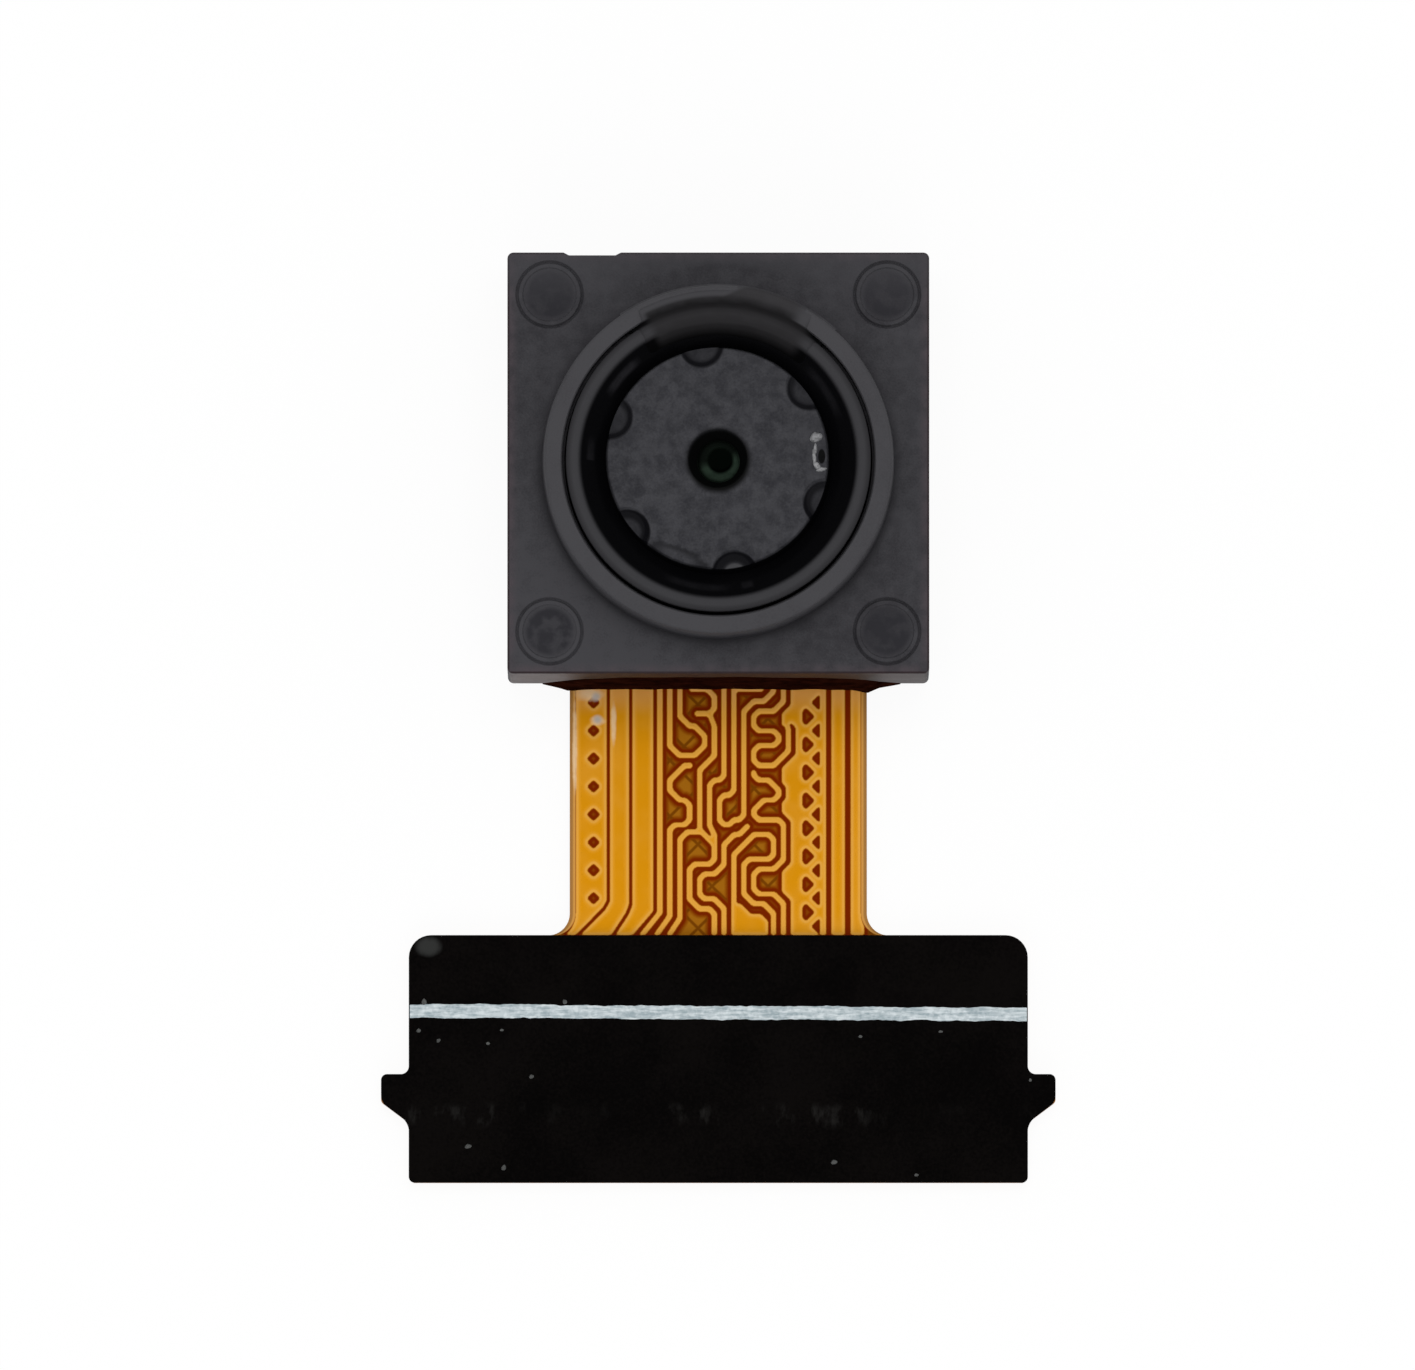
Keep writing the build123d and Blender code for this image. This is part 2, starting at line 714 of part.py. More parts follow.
# Cured glue in the collar's slot
with BuildPart() as barrel_glue:
    slot_floor_z = collar_top_z - slot_depth
    with BuildSketch(Plane.XY.offset(slot_floor_z)):
        with BuildLine():
            outer_arc = CenterArc((0, 0), collar_radius - glue_gap, slot_start_angle, slot_sweep_angle)
            inner_arc = CenterArc((0, 0), barrel_radius + glue_gap, slot_start_angle, slot_sweep_angle)
            Line(outer_arc @ 0, inner_arc @ 0)
            Line(outer_arc @ 1, inner_arc @ 1)
        make_face()
    extrude(amount=glue_height)
    chamfer(edges().group_by(Axis.Z)[-1].sort_by(Edge.length)[-1], glue_edge_chamfer)

# Black epoxy where the flexible circuit leaves the holder
with BuildPart() as neck_epoxy:
    with BuildSketch(Plane.YZ):
        bead_foot = (neck_top - bead_reach, flex_top_z)
        bead_top = (neck_top, flex_top_z + bead_height)
        bead_waist = (neck_top - bead_waist_reach, flex_top_z + bead_waist_height)
        with BuildLine():
            Polyline(bead_foot, bead_waist, bead_top, (neck_top, flex_top_z), close=True)
        make_face()
    extrude(amount=neck_width / 2 + bead_overhang, both=True)

pieces = {
    "back_stiffener": back_stiffener,
    "back_coverlay": back_coverlay,
    "back_ground_plane": back_ground_plane,
    "contact_fingers": contact_fingers,
    "flex_base_film": flex_base_film,
    "front_traces": front_traces,
    "front_coverlay": front_coverlay,
    "stiffener_adhesive": stiffener_adhesive,
    "tail_stiffener": tail_stiffener,
    "alignment_line": alignment_line,
    "solder_pads": solder_pads,
    "solder_joints": solder_joints,
    "sensor_die": sensor_die,
    "sensor_dam": sensor_dam,
    "sensor_cover_glass": sensor_cover_glass,
    "capacitor_bodies": capacitor_bodies,
    "capacitor_terminals": capacitor_terminals,
    "holder_adhesive": holder_adhesive,
    "lens_holder": lens_holder,
    "lens_barrel": lens_barrel,
    "front_lens": front_lens,
    "lens_spacer": lens_spacer,
    "rear_lens": rear_lens,
    "lens_retainer": lens_retainer,
    "infrared_filter": infrared_filter,
    "filter_adhesive": filter_adhesive,
    "barrel_glue": barrel_glue,
    "neck_epoxy": neck_epoxy,
}

for name, piece in pieces.items():
    piece.part.label = name
    export_step(piece.part, f"parts/{name}.step")
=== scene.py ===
import math

import bmesh
import bpy
import numpy as np
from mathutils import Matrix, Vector, noise
from mathutils.bvhtree import BVHTree


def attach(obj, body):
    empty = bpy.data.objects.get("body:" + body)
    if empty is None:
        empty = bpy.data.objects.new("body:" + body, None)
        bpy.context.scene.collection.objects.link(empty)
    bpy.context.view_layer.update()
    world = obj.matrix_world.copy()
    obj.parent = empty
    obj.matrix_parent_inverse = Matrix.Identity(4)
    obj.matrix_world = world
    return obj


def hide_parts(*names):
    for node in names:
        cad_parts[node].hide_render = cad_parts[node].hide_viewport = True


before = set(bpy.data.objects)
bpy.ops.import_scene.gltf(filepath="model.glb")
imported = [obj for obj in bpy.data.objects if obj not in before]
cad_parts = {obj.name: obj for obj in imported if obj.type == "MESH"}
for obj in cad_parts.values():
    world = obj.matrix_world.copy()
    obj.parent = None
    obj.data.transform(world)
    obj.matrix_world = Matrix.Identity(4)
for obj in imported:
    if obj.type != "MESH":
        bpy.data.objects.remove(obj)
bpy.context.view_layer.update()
mm = 0.001  # pieces are modelled in millimetres and brought to metres when they are finished
touch = 1e-3  # a corner this near a plane counts as on it, in millimetres
weld = 1e-4  # corners this near each other become one
hub = 0.05  # turned tools start this far from their axis
print("frame loaded")


# helpers for modelling by hand

def pick(piece):
    bpy.ops.object.select_all(action="DESELECT")
    piece.select_set(True)
    bpy.context.view_layer.objects.active = piece


def editOn(piece, mode="FACE"):
    pick(piece)
    bpy.ops.object.mode_set(mode="EDIT")
    bpy.ops.mesh.select_mode(type=mode)
    bpy.ops.mesh.select_all(action="DESELECT")


def editOff():
    bpy.ops.object.mode_set(mode="OBJECT")


def pickFaces(piece, wanted):
    bpy.ops.mesh.select_mode(type="FACE")
    work = bmesh.from_edit_mesh(piece.data)
    work.normal_update()
    for face in work.faces:
        face.select_set(bool(wanted(face.calc_center_median(), face.normal)))
    bmesh.update_edit_mesh(piece.data)


def pickEdges(piece, wanted):
    bpy.ops.mesh.select_mode(type="EDGE")
    work = bmesh.from_edit_mesh(piece.data)
    for edge in work.edges:
        edge.select_set(bool(wanted(edge.verts[0].co, edge.verts[1].co)))
    bmesh.update_edit_mesh(piece.data)


def useModifier(piece, kind, **values):
    pick(piece)
    modifier = piece.modifiers.new(kind.title(), kind)
    for key, value in values.items():
        setattr(modifier, key, value)
    bpy.ops.object.modifier_apply(modifier=modifier.name)


def carve(piece, tool, how="DIFFERENCE"):
    useModifier(piece, "BOOLEAN", object=tool, operation=how, solver="EXACT")
    bpy.data.objects.remove(tool)


def joinInto(piece, *others):
    pick(piece)
    for other in others:
        other.select_set(True)
    bpy.ops.object.join()
    return piece


def copyTo(piece, place, turn=0, scale=(1, 1, 1)):
    twin = piece.copy()
    twin.data = piece.data.copy()
    bpy.context.collection.objects.link(twin)
    twin.location = place
    twin.rotation_euler = (0, 0, math.radians(turn))
    twin.scale = scale
    pick(twin)
    bpy.ops.object.transform_apply(location=True, rotation=True, scale=True)
    return twin


def addBlock(name, low, high):
    centre = [(a + b) / 2 for a, b in zip(low, high)]
    size = [b - a for a, b in zip(low, high)]
    bpy.ops.mesh.primitive_cube_add(size=1, location=centre, scale=size)
    block = bpy.context.object
    block.name = name
    bpy.ops.object.transform_apply(location=True, rotation=True, scale=True)
    return block


def roundUprights(block, radius, segments=5):
    editOn(block, "EDGE")
    pickEdges(block, lambda a, b: abs(a.z - b.z) > 0.01 and abs(a.x - b.x) + abs(a.y - b.y) < weld)
    bpy.ops.mesh.bevel(offset=radius, segments=segments, affect="EDGES")
    editOff()


def turnRings(name, rings, steps=192, closed=False):
    # rings are (radius, height, rounding); each is drawn out of the one before it
    first = rings[0]
    bpy.ops.mesh.primitive_circle_add(vertices=steps, radius=first[0], location=(0, 0, first[1]))
    piece = bpy.context.object
    piece.name = name
    bpy.ops.object.transform_apply(location=True, rotation=True, scale=True)
    bpy.ops.object.mode_set(mode="EDIT")
    bpy.ops.mesh.select_mode(type="EDGE")
    bpy.ops.mesh.select_all(action="SELECT")
    last = first
    for ring in rings[1:] + (rings[:1] if closed else []):
        bpy.ops.mesh.extrude_edges_move(TRANSFORM_OT_translate={"value": (0, 0, ring[1] - last[1])})
        grow = ring[0] / last[0]
        bpy.ops.transform.resize(value=(grow, grow, 1), center_override=(0, 0, ring[1]))
        last = ring
    bpy.ops.mesh.select_all(action="SELECT")
    bpy.ops.mesh.remove_doubles(threshold=weld)
    if not closed:
        bpy.ops.mesh.fill_holes(sides=0)
        bpy.ops.mesh.select_all(action="SELECT")
    bpy.ops.mesh.normals_make_consistent(inside=False)
    for radius, height, rounding in rings:
        if rounding:
            pickEdges(piece, lambda a, b: all(
                abs(v.z - height) < touch and abs(v.xy.length - radius) < touch for v in (a, b)))
            bpy.ops.mesh.bevel(offset=rounding, segments=5, affect="EDGES")
    editOff()
    return piece


def sweepSection(name, corners, start, sweep, steps):
    # a section of (radius, height) corners, turned to its start angle and swept round the axis
    bpy.ops.mesh.primitive_circle_add(vertices=len(corners), radius=1, fill_type="NGON")
    piece = bpy.context.object
    piece.name = name
    for vertex, (radius, height) in zip(piece.data.vertices, corners):
        vertex.co = (radius, 0, height)
    editOn(piece)
    bpy.ops.mesh.select_all(action="SELECT")
    bpy.ops.transform.rotate(value=-math.radians(start), orient_axis="Z", center_override=(0, 0, 0))
    bpy.ops.mesh.spin(steps=steps, angle=-math.radians(sweep), center=(0, 0, 0), axis=(0, 0, 1))
    bpy.ops.mesh.select_all(action="SELECT")
    bpy.ops.mesh.remove_doubles(threshold=weld)
    bpy.ops.mesh.normals_make_consistent(inside=False)
    editOff()
    return piece


def closeSheet(piece, flatten, centre):
    # draws a sheet's open rim out to a plane, caps it there and turns the faces outwards
    editOn(piece, "EDGE")
    bpy.ops.mesh.select_non_manifold()
    bpy.ops.mesh.extrude_edges_move(TRANSFORM_OT_translate={"value": (0, 0, 0)})
    bpy.ops.transform.resize(value=flatten, center_override=centre)
    bpy.ops.mesh.edge_face_add()
    bpy.ops.mesh.select_all(action="SELECT")
    bpy.ops.mesh.normals_make_consistent(inside=False)
    editOff()


def finishPiece(piece, name, node=None, smoothAngle=32):
    piece.name = name
    piece.data.name = name
    pick(piece)
    piece.scale = (mm, mm, mm)
    bpy.ops.object.transform_apply(location=True, rotation=True, scale=True)
    bpy.ops.object.shade_smooth_by_angle(angle=math.radians(smoothAngle))
    useModifier(piece, "WEIGHTED_NORMAL", keep_sharp=True, weight=80)
    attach(piece, "root")
    if node:
        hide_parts(node)
    return piece


def dress(piece, material):
    piece.data.materials.clear()
    piece.data.materials.append(material)


# shader building blocks

def addNode(tree, kind, plugs=None, **settings):
    node = tree.nodes.new(kind)
    for key, value in settings.items():
        setattr(node, key, value)
    for key, value in (plugs or {}).items():
        if isinstance(value, bpy.types.NodeSocket):
            tree.links.new(value, node.inputs[key])
        else:
            node.inputs[key].default_value = value
    return node


def calc(tree, operation, *values):
    node = addNode(tree, "ShaderNodeMath", operation=operation)
    for place, value in enumerate(values):
        if isinstance(value, bpy.types.NodeSocket):
            tree.links.new(value, node.inputs[place])
        else:
            node.inputs[place].default_value = value
    return node.outputs[0]


def times(tree, a, b):
    return calc(tree, "MULTIPLY", a, b)


def plus(tree, a, b):
    return calc(tree, "ADD", a, b)


def minus(tree, a, b):
    return calc(tree, "SUBTRACT", a, b)


def ratio(tree, a, b):
    return calc(tree, "DIVIDE", a, b)


def lengthOf(tree, a, b):
    return calc(tree, "SQRT", plus(tree, times(tree, a, a), times(tree, b, b)))


def axesOf(tree, place):
    return addNode(tree, "ShaderNodeSeparateXYZ", {"Vector": place}).outputs


def noiseOf(tree, place, scale, detail=2.0, roughness=0.5):
    plugs = {"Vector": place, "Scale": scale, "Detail": detail, "Roughness": roughness}
    return addNode(tree, "ShaderNodeTexNoise", plugs).outputs[0]


def highest(tree, a, b):
    return calc(tree, "MAXIMUM", a, b)


def spread(tree, value, low, high, toLow=0.0, toHigh=1.0, smooth=True):
    plugs = {"Value": value, "From Min": low, "From Max": high, "To Min": toLow, "To Max": toHigh}
    curve = "SMOOTHSTEP" if smooth else "LINEAR"
    return addNode(tree, "ShaderNodeMapRange", plugs, interpolation_type=curve).outputs["Result"]


def blendColour(tree, mask, below, above):
    node = addNode(tree, "ShaderNodeMix", data_type="RGBA")
    for place, value in ((0, mask), (6, below), (7, above)):
        if isinstance(value, bpy.types.NodeSocket):
            tree.links.new(value, node.inputs[place])
        elif place:
            node.inputs[place].default_value = (*value, 1)
        else:
            node.inputs[place].default_value = value
    return node.outputs[2]


def startGroup(name, inputs, outputs):
    group = bpy.data.node_groups.new(name, "ShaderNodeTree")
    for label, kind, value in inputs:
        socket = group.interface.new_socket(label, in_out="INPUT", socket_type=kind)
        if value is not None:
            socket.default_value = value
    for label, kind in outputs:
        group.interface.new_socket(label, in_out="OUTPUT", socket_type=kind)
    return group, group.nodes.new("NodeGroupInput").outputs, group.nodes.new("NodeGroupOutput").inputs


def buildGrainGroup():
    # fine moulded or printed grain over slow clouds of tone
    inputs = [
        ("Vector", "NodeSocketVector", None), ("Grain Scale", "NodeSocketFloat", 20.0),
        ("Cloud Scale", "NodeSocketFloat", 1.0), ("Cloud Share", "NodeSocketFloat", 0.5),
    ]
    outputs = [("Tone", "NodeSocketFloat"), ("Height", "NodeSocketFloat")]
    group, given, result = startGroup("moulded grain", inputs, outputs)
    fine = noiseOf(group, given["Vector"], given["Grain Scale"], detail=3.0, roughness=0.6)
    cloud = noiseOf(group, given["Vector"], given["Cloud Scale"], detail=4.0, roughness=0.55)
    mixed = addNode(group, "ShaderNodeMix", {0: given["Cloud Share"], 2: fine, 3: cloud}, data_type="FLOAT")
    group.links.new(mixed.outputs[0], result["Tone"])
    group.links.new(fine, result["Height"])
    return group


def buildSpeckGroup():
    # scattered dust: only some cells carry a speck
    inputs = [
        ("Vector", "NodeSocketVector", None), ("Scale", "NodeSocketFloat", 2.0),
        ("Size", "NodeSocketFloat", 0.05), ("Share", "NodeSocketFloat", 0.2),
    ]
    group, given, result = startGroup("dust specks", inputs, [("Mask", "NodeSocketFloat")])
    wobble = addNode(group, "ShaderNodeTexNoise", {"Vector": given["Vector"], "Scale": 9.0, "Detail": 2.0})
    centred = {0: wobble.outputs["Color"], 1: (0.5, 0.5, 0.5)}
    moved = addNode(group, "ShaderNodeVectorMath", centred, operation="SUBTRACT")
    pushed = addNode(group, "ShaderNodeVectorMath", {0: moved.outputs[0], "Scale": 0.12}, operation="SCALE")
    place = addNode(group, "ShaderNodeVectorMath", {0: given["Vector"], 1: pushed.outputs[0]}, operation="ADD")
    cells = addNode(group, "ShaderNodeTexVoronoi", {"Vector": place.outputs[0], "Scale": given["Scale"]})
    chance = addNode(group, "ShaderNodeSeparateColor", {"Color": cells.outputs["Color"]})
    chosen = calc(group, "LESS_THAN", chance.outputs[0], given["Share"])
    near = calc(group, "LESS_THAN", cells.outputs["Distance"], given["Size"])
    group.links.new(times(group, chosen, near), result["Mask"])
    return group


def buildStreakGroup():
    # streaks drawn out along one way, for brushed metal, glue lines and rubbed ink
    inputs = [
        ("Vector", "NodeSocketVector", None), ("Stretch", "NodeSocketVector", (1.0, 12.0, 1.0)),
        ("Scale", "NodeSocketFloat", 4.0),
    ]
    group, given, result = startGroup("drawn streaks", inputs, [("Value", "NodeSocketFloat")])
    pulled = addNode(group, "ShaderNodeVectorMath", {0: given["Vector"], 1: given["Stretch"]}, operation="MULTIPLY")
    streak = noiseOf(group, pulled.outputs[0], given["Scale"], detail=4.0, roughness=0.65)
    group.links.new(streak, result["Value"])
    return group


grainGroup = buildGrainGroup()
speckGroup = buildSpeckGroup()
streakGroup = buildStreakGroup()


def rampOf(tree, value, stops):
    ramp = addNode(tree, "ShaderNodeValToRGB", {"Fac": value})
    band = ramp.color_ramp
    while len(band.elements) < len(stops):
        band.elements.new(0.5)
    for element, (where, colour) in zip(band.elements, stops):
        element.position = where
        element.color = (*colour, 1)
    return ramp.outputs["Color"]


def startMaterial(name):
    material = bpy.data.materials.new(name)
    material.use_nodes = True
    tree = material.node_tree
    shader = tree.nodes["Principled BSDF"]
    where = addNode(tree, "ShaderNodeTexCoord")
    place = addNode(tree, "ShaderNodeMapping", {"Vector": where.outputs["Object"], "Scale": (1 / mm, 1 / mm, 1 / mm)})
    return material, tree, shader, place.outputs[0]


def useGroup(tree, group, plugs):
    node = tree.nodes.new("ShaderNodeGroup")
    node.node_tree = group
    for key, value in plugs.items():
        if isinstance(value, bpy.types.NodeSocket):
            tree.links.new(value, node.inputs[key])
        else:
            node.inputs[key].default_value = value
    return node.outputs


def grainOf(tree, place, fine, cloud, share=0.5):
    plugs = {"Vector": place, "Grain Scale": fine, "Cloud Scale": cloud, "Cloud Share": share}
    return useGroup(tree, grainGroup, plugs)


def roughen(tree, shader, tone, least, most):
    tree.links.new(spread(tree, tone, 0.3, 0.7, least, most), shader.inputs["Roughness"])


def setBump(tree, shader, height, strength, distance):
    bump = addNode(tree, "ShaderNodeBump", {"Height": height, "Strength": strength, "Distance": distance})
    tree.links.new(bump.outputs[0], shader.inputs["Normal"])


def plainFinish(name, look):
    # a single stuff with its own grain: tone between two colours, roughness and a little relief
    material, tree, shader, place = startMaterial(name)
    grain = grainOf(tree, place, look["grain"], look["cloud"], look.get("share", 0.5))
    tone = spread(tree, grain["Tone"], 0.35, 0.65)
    tree.links.new(blendColour(tree, tone, look["dark"], look["light"]), shader.inputs["Base Color"])
    roughen(tree, shader, grain["Tone"], *look["rough"])
    shader.inputs["Metallic"].default_value = look.get("metal", 0.0)
    shader.inputs["Coat Weight"].default_value = look.get("coat", 0.0)
    shader.inputs["Coat Roughness"].default_value = 0.15
    shader.inputs["Specular IOR Level"].default_value = look.get("shine", 0.5)
    shader.inputs["Transmission Weight"].default_value = look.get("clear", 0.0)
    shader.inputs["IOR"].default_value = look.get("ior", 1.5)
    setBump(tree, shader, grain["Height"], look.get("relief", 0.15), 0.00002)
    return material


# lens holder

holderSize = {
    "width": 8.5, "base": 0.38, "front": 3.78, "cornerRadius": 0.12, "edgeRadius": 0.05,
    "collarFoot": 3.56, "collarTop": 3.505, "collarHeight": 4.95,
    "bore": 3.10, "boreFloor": 2.03, "mouth": 3.145, "mouthFloor": 4.35, "lip": 0.04,
    "gateLeft": -3.16, "gateRight": -1.92, "gateMiddle": -2.55, "gateDepth": 0.06, "gateHeight": 1.5, "gateTaper": 0.76,
    "roomHalf": 3.65, "roomTop": 1.73, "windowHalf": (2.2, 1.8),
    # each cut of the glue slot: start and sweep in degrees, outer radius
    "slotInner": 3.05, "slotFloor": 4.59, "slotRoof": 5.3, "slots": [(59.6, 24.0, 3.8), (59.6, 56.2, 3.37)],
    # ejector marks: a fine groove round a plain ring, and a shallow disc
    "markPlace": 3.4, "groove": [(0.565, 3.86, 0), (0.655, 3.72, 0.01), (0.745, 3.86, 0)],
    "disc": [(hub, 3.755, 0), (0.525, 3.755, 0), (0.60, 3.83, 0), (hub, 3.83, 0)],
}


def makeHolder(size):
    half = size["width"] / 2
    holder = addBlock("holder", (-half, -half, size["base"]), (half, half, size["front"]))
    roundUprights(holder, size["cornerRadius"])
    editOn(holder, "EDGE")
    pickEdges(holder, lambda a, b: min(a.z, b.z) > size["front"] - touch)
    bpy.ops.mesh.bevel(offset=size["edgeRadius"], segments=3, affect="EDGES")
    editOff()

    # recess left by the moulding gate in the upper edge
    gateBack = half - size["gateDepth"]
    gateLow = (size["gateLeft"], gateBack, size["front"] - size["gateHeight"])
    gate = addBlock("gate", gateLow, (size["gateRight"], half + 0.02, size["front"] + 0.2))
    editOn(gate)
    pickFaces(gate, lambda centre, normal: normal.y < -0.9)
    bpy.ops.transform.resize(value=(size["gateTaper"], 1, 1), center_override=(size["gateMiddle"], gateBack, 3.0))
    editOff()
    carve(holder, gate)

    collar = turnRings("collar", [
        (size["collarFoot"], size["front"] - 0.2, 0), (size["collarFoot"], size["front"] + 0.03, 0),
        (size["collarTop"], size["collarHeight"], 0.06), (hub, size["collarHeight"], 0),
    ], steps=256)
    carve(holder, collar, "UNION")
    lipRadius, above = size["mouth"] + size["lip"], size["collarHeight"] + 0.4
    bore = turnRings("bore", [
        (hub, size["boreFloor"], 0), (size["bore"], size["boreFloor"], 0), (size["bore"], size["mouthFloor"], 0),
        (size["mouth"], size["mouthFloor"], 0), (size["mouth"], size["collarHeight"] - size["lip"], 0.03),
        (lipRadius, size["collarHeight"] + 0.01, 0), (lipRadius, above, 0), (hub, above, 0),
    ], steps=256)
    carve(holder, bore)

    # room behind the ledge, and the window through it
    side = size["roomHalf"]
    room = addBlock("room", (-side, -side, size["base"] - 0.2), (side, side, size["roomTop"]))
    roundUprights(room, 0.1, 3)
    carve(holder, room)
    windowX, windowY = size["windowHalf"]
    window = addBlock("window", (-windowX, -windowY, 1.5), (windowX, windowY, 2.2))
    roundUprights(window, 0.15, 4)
    carve(holder, window)

    # slot for the locking glue
    inner, low, high = size["slotInner"], size["slotFloor"], size["slotRoof"]
    for start, sweep, reach in size["slots"]:
        corners = [(inner, low), (reach, low), (reach, high), (inner, high)]
        carve(holder, sweepSection("slot", corners, start, sweep, 41))

    # one round ejector mark, copied to the four corners
    groove = turnRings("groove", size["groove"], steps=72, closed=True)
    disc = turnRings("disc", size["disc"], steps=72)
    mark = joinInto(groove, disc)
    marks = []
    for sideX in (-1, 1):
        for sideY in (-1, 1):
            marks.append(copyTo(mark, (sideX * size["markPlace"], sideY * size["markPlace"], 0)))
    bpy.data.objects.remove(mark)
    carve(holder, joinInto(*marks))
    return finishPiece(holder, "lensHolder", "lens_holder")


holderLook = {
    "dark": (0.0280, 0.0270, 0.0310), "light": (0.0510, 0.0500, 0.0555), "markTone": (0.0190, 0.0185, 0.0225),
    # shade is the painted shade round the collar's foot
    "collar": (0.0560, 0.0550, 0.0600), "shade": (0.0180, 0.0175, 0.0200), "edgeTint": (0.072, 0.056, 0.064),
    # the wall colours are painted light, and by the neck dark epoxy smear with painted shade
    "paintedEdgeShade": (0.0220, 0.0130, 0.0140), "paintedLightWallLeft": (0.138, 0.120, 0.120), "paintedLightWallRight": (0.070, 0.060, 0.062),
    "smearAndShadeByNeck": (0.024, 0.017, 0.016),
    "speck": (0.22, 0.22, 0.22), "grain": 26.0, "cloud": 0.9, "rough": (0.5, 0.62), "shine": 0.06,
}


def makeHolderPlastic(look):
    material, tree, shader, place = startMaterial("charcoal holder plastic")
    grain = grainOf(tree, place, look["grain"], look["cloud"], 0.55)
    blotch = noiseOf(tree, place, 3.2, detail=3.0)
    tone = plus(tree, spread(tree, grain["Tone"], 0.36, 0.64, 0, 0.6), spread(tree, blotch, 0.32, 0.68, 0, 0.4))
    split = axesOf(tree, place)
    # the head grows a little paler towards its lower left
    toCorner = minus(tree, times(tree, split["X"], -1.0), split["Y"])
    tone = plus(tree, tone, spread(tree, toCorner, 3.5, 6.5, 0, 0.55))
    colour = blendColour(tree, tone, look["dark"], look["light"])
    # the discs in the four corners are mottled and darker
    awayX = minus(tree, calc(tree, "ABSOLUTE", split["X"]), holderSize["markPlace"])
    awayY = minus(tree, calc(tree, "ABSOLUTE", split["Y"]), holderSize["markPlace"])
    away = lengthOf(tree, awayX, awayY)
    inDisc = times(tree, spread(tree, away, 0.56, 0.40), spread(tree, blotch, 0.34, 0.56, 0.35, 0.9))
    colour = blendColour(tree, inDisc, colour, look["markTone"])
    # warmer, paler tone along the outer edges
    reach = highest(tree, calc(tree, "ABSOLUTE", split["X"]), calc(tree, "ABSOLUTE", split["Y"]))
    atEdge = times(tree, spread(tree, reach, 4.0, 4.22), spread(tree, blotch, 0.3, 0.7, 0.2, 0.7))
    atFront = spread(tree, split["Z"], 3.45, 3.70)
    colour = blendColour(tree, times(tree, atEdge, atFront), colour, look["edgeTint"])
    # painted shade: a thin dark line along the rounded outer edges, where they turn from the light
    paintedEdgeShade = times(tree, spread(tree, reach, 4.195, 4.225), times(tree, atFront, 0.8))
    colour = blendColour(tree, paintedEdgeShade, colour, look["paintedEdgeShade"])
    # painted light on the wall above the neck, more so to the left; by the neck the wall is dark, epoxy smear with
    # painted shade
    onWall = times(tree, spread(tree, split["Y"], -4.20, -4.24), spread(tree, split["Z"], 3.70, 3.60))
    wall = blendColour(tree, spread(tree, split["X"], -2.0, 2.0), look["paintedLightWallLeft"], look["paintedLightWallRight"])
    byNeck = times(tree, spread(tree, split["X"], -3.35, -2.55), spread(tree, split["X"], 3.45, 3.1))
    wall = blendColour(tree, byNeck, wall, look["smearAndShadeByNeck"])
    colour = blendColour(tree, times(tree, onWall, spread(tree, blotch, 0.25, 0.6, 0.75, 1.0)), colour, wall)
    # paler collar, and a painted shade round its foot, deepest below, where the collar's shadow falls
    radius = lengthOf(tree, split["X"], split["Y"])
    # painted light: the head's upper side, beyond the collar, is coloured paler
    lift = times(tree, spread(tree, split["Y"], 3.0, 4.1), spread(tree, radius, 3.9, 4.1))
    colour = blendColour(tree, times(tree, lift, 0.5), colour, look["light"])
    onCollar = times(tree, spread(tree, split["Z"], 4.3, 4.7), spread(tree, grain["Tone"], 0.25, 0.6, 0.55, 1.0))
    colour = blendColour(tree, onCollar, colour, look["collar"])
    below = spread(tree, split["Y"], 2.0, -2.0, 0.25, 0.8)
    foot = times(tree, spread(tree, radius, 3.74, 3.53), spread(tree, split["Z"], 4.4, 3.9))
    colour = blendColour(tree, times(tree, foot, below), colour, look["shade"])
    specks = useGroup(tree, speckGroup, {"Vector": place, "Scale": 1.1, "Size": 0.03, "Share": 0.14})["Mask"]
    colour = blendColour(tree, times(tree, specks, 0.5), colour, look["speck"])
    tree.links.new(colour, shader.inputs["Base Color"])
    roughen(tree, shader, grain["Tone"], *look["rough"])
    shader.inputs["Specular IOR Level"].default_value = look["shine"]
    setBump(tree, shader, grain["Height"], 0.25, 0.00003)
    return material


lensHolder = makeHolder(holderSize)
dress(lensHolder, makeHolderPlastic(holderLook))
print("holder done", len(lensHolder.data.polygons))

# lens barrel

barrelSize = {
    "rings": [
        (3.07, 2.10, 0.05), (3.07, 5.00, 0.06), (2.81, 5.00, 0.07), (2.44, 4.44, 0), (2.29, 4.33, 0),
        (2.21, 4.58, 0.025), (0.595, 4.58, 0.02), (0.56, 4.50, 0), (0.44, 4.32, 0), (0.43, 4.30, 0),
        (0.43, 4.13, 0), (1.52, 4.13, 0), (1.52, 3.68, 0), (2.20, 3.68, 0), (2.20, 2.10, 0.03),
    ],
    "plateShift": (-0.02, 0.045, 0),
    "notchPlace": 2.33, "notchRadius": 0.46, "notchFloor": 4.50, "notchAngle": 38.3, "notchCount": 6,
}


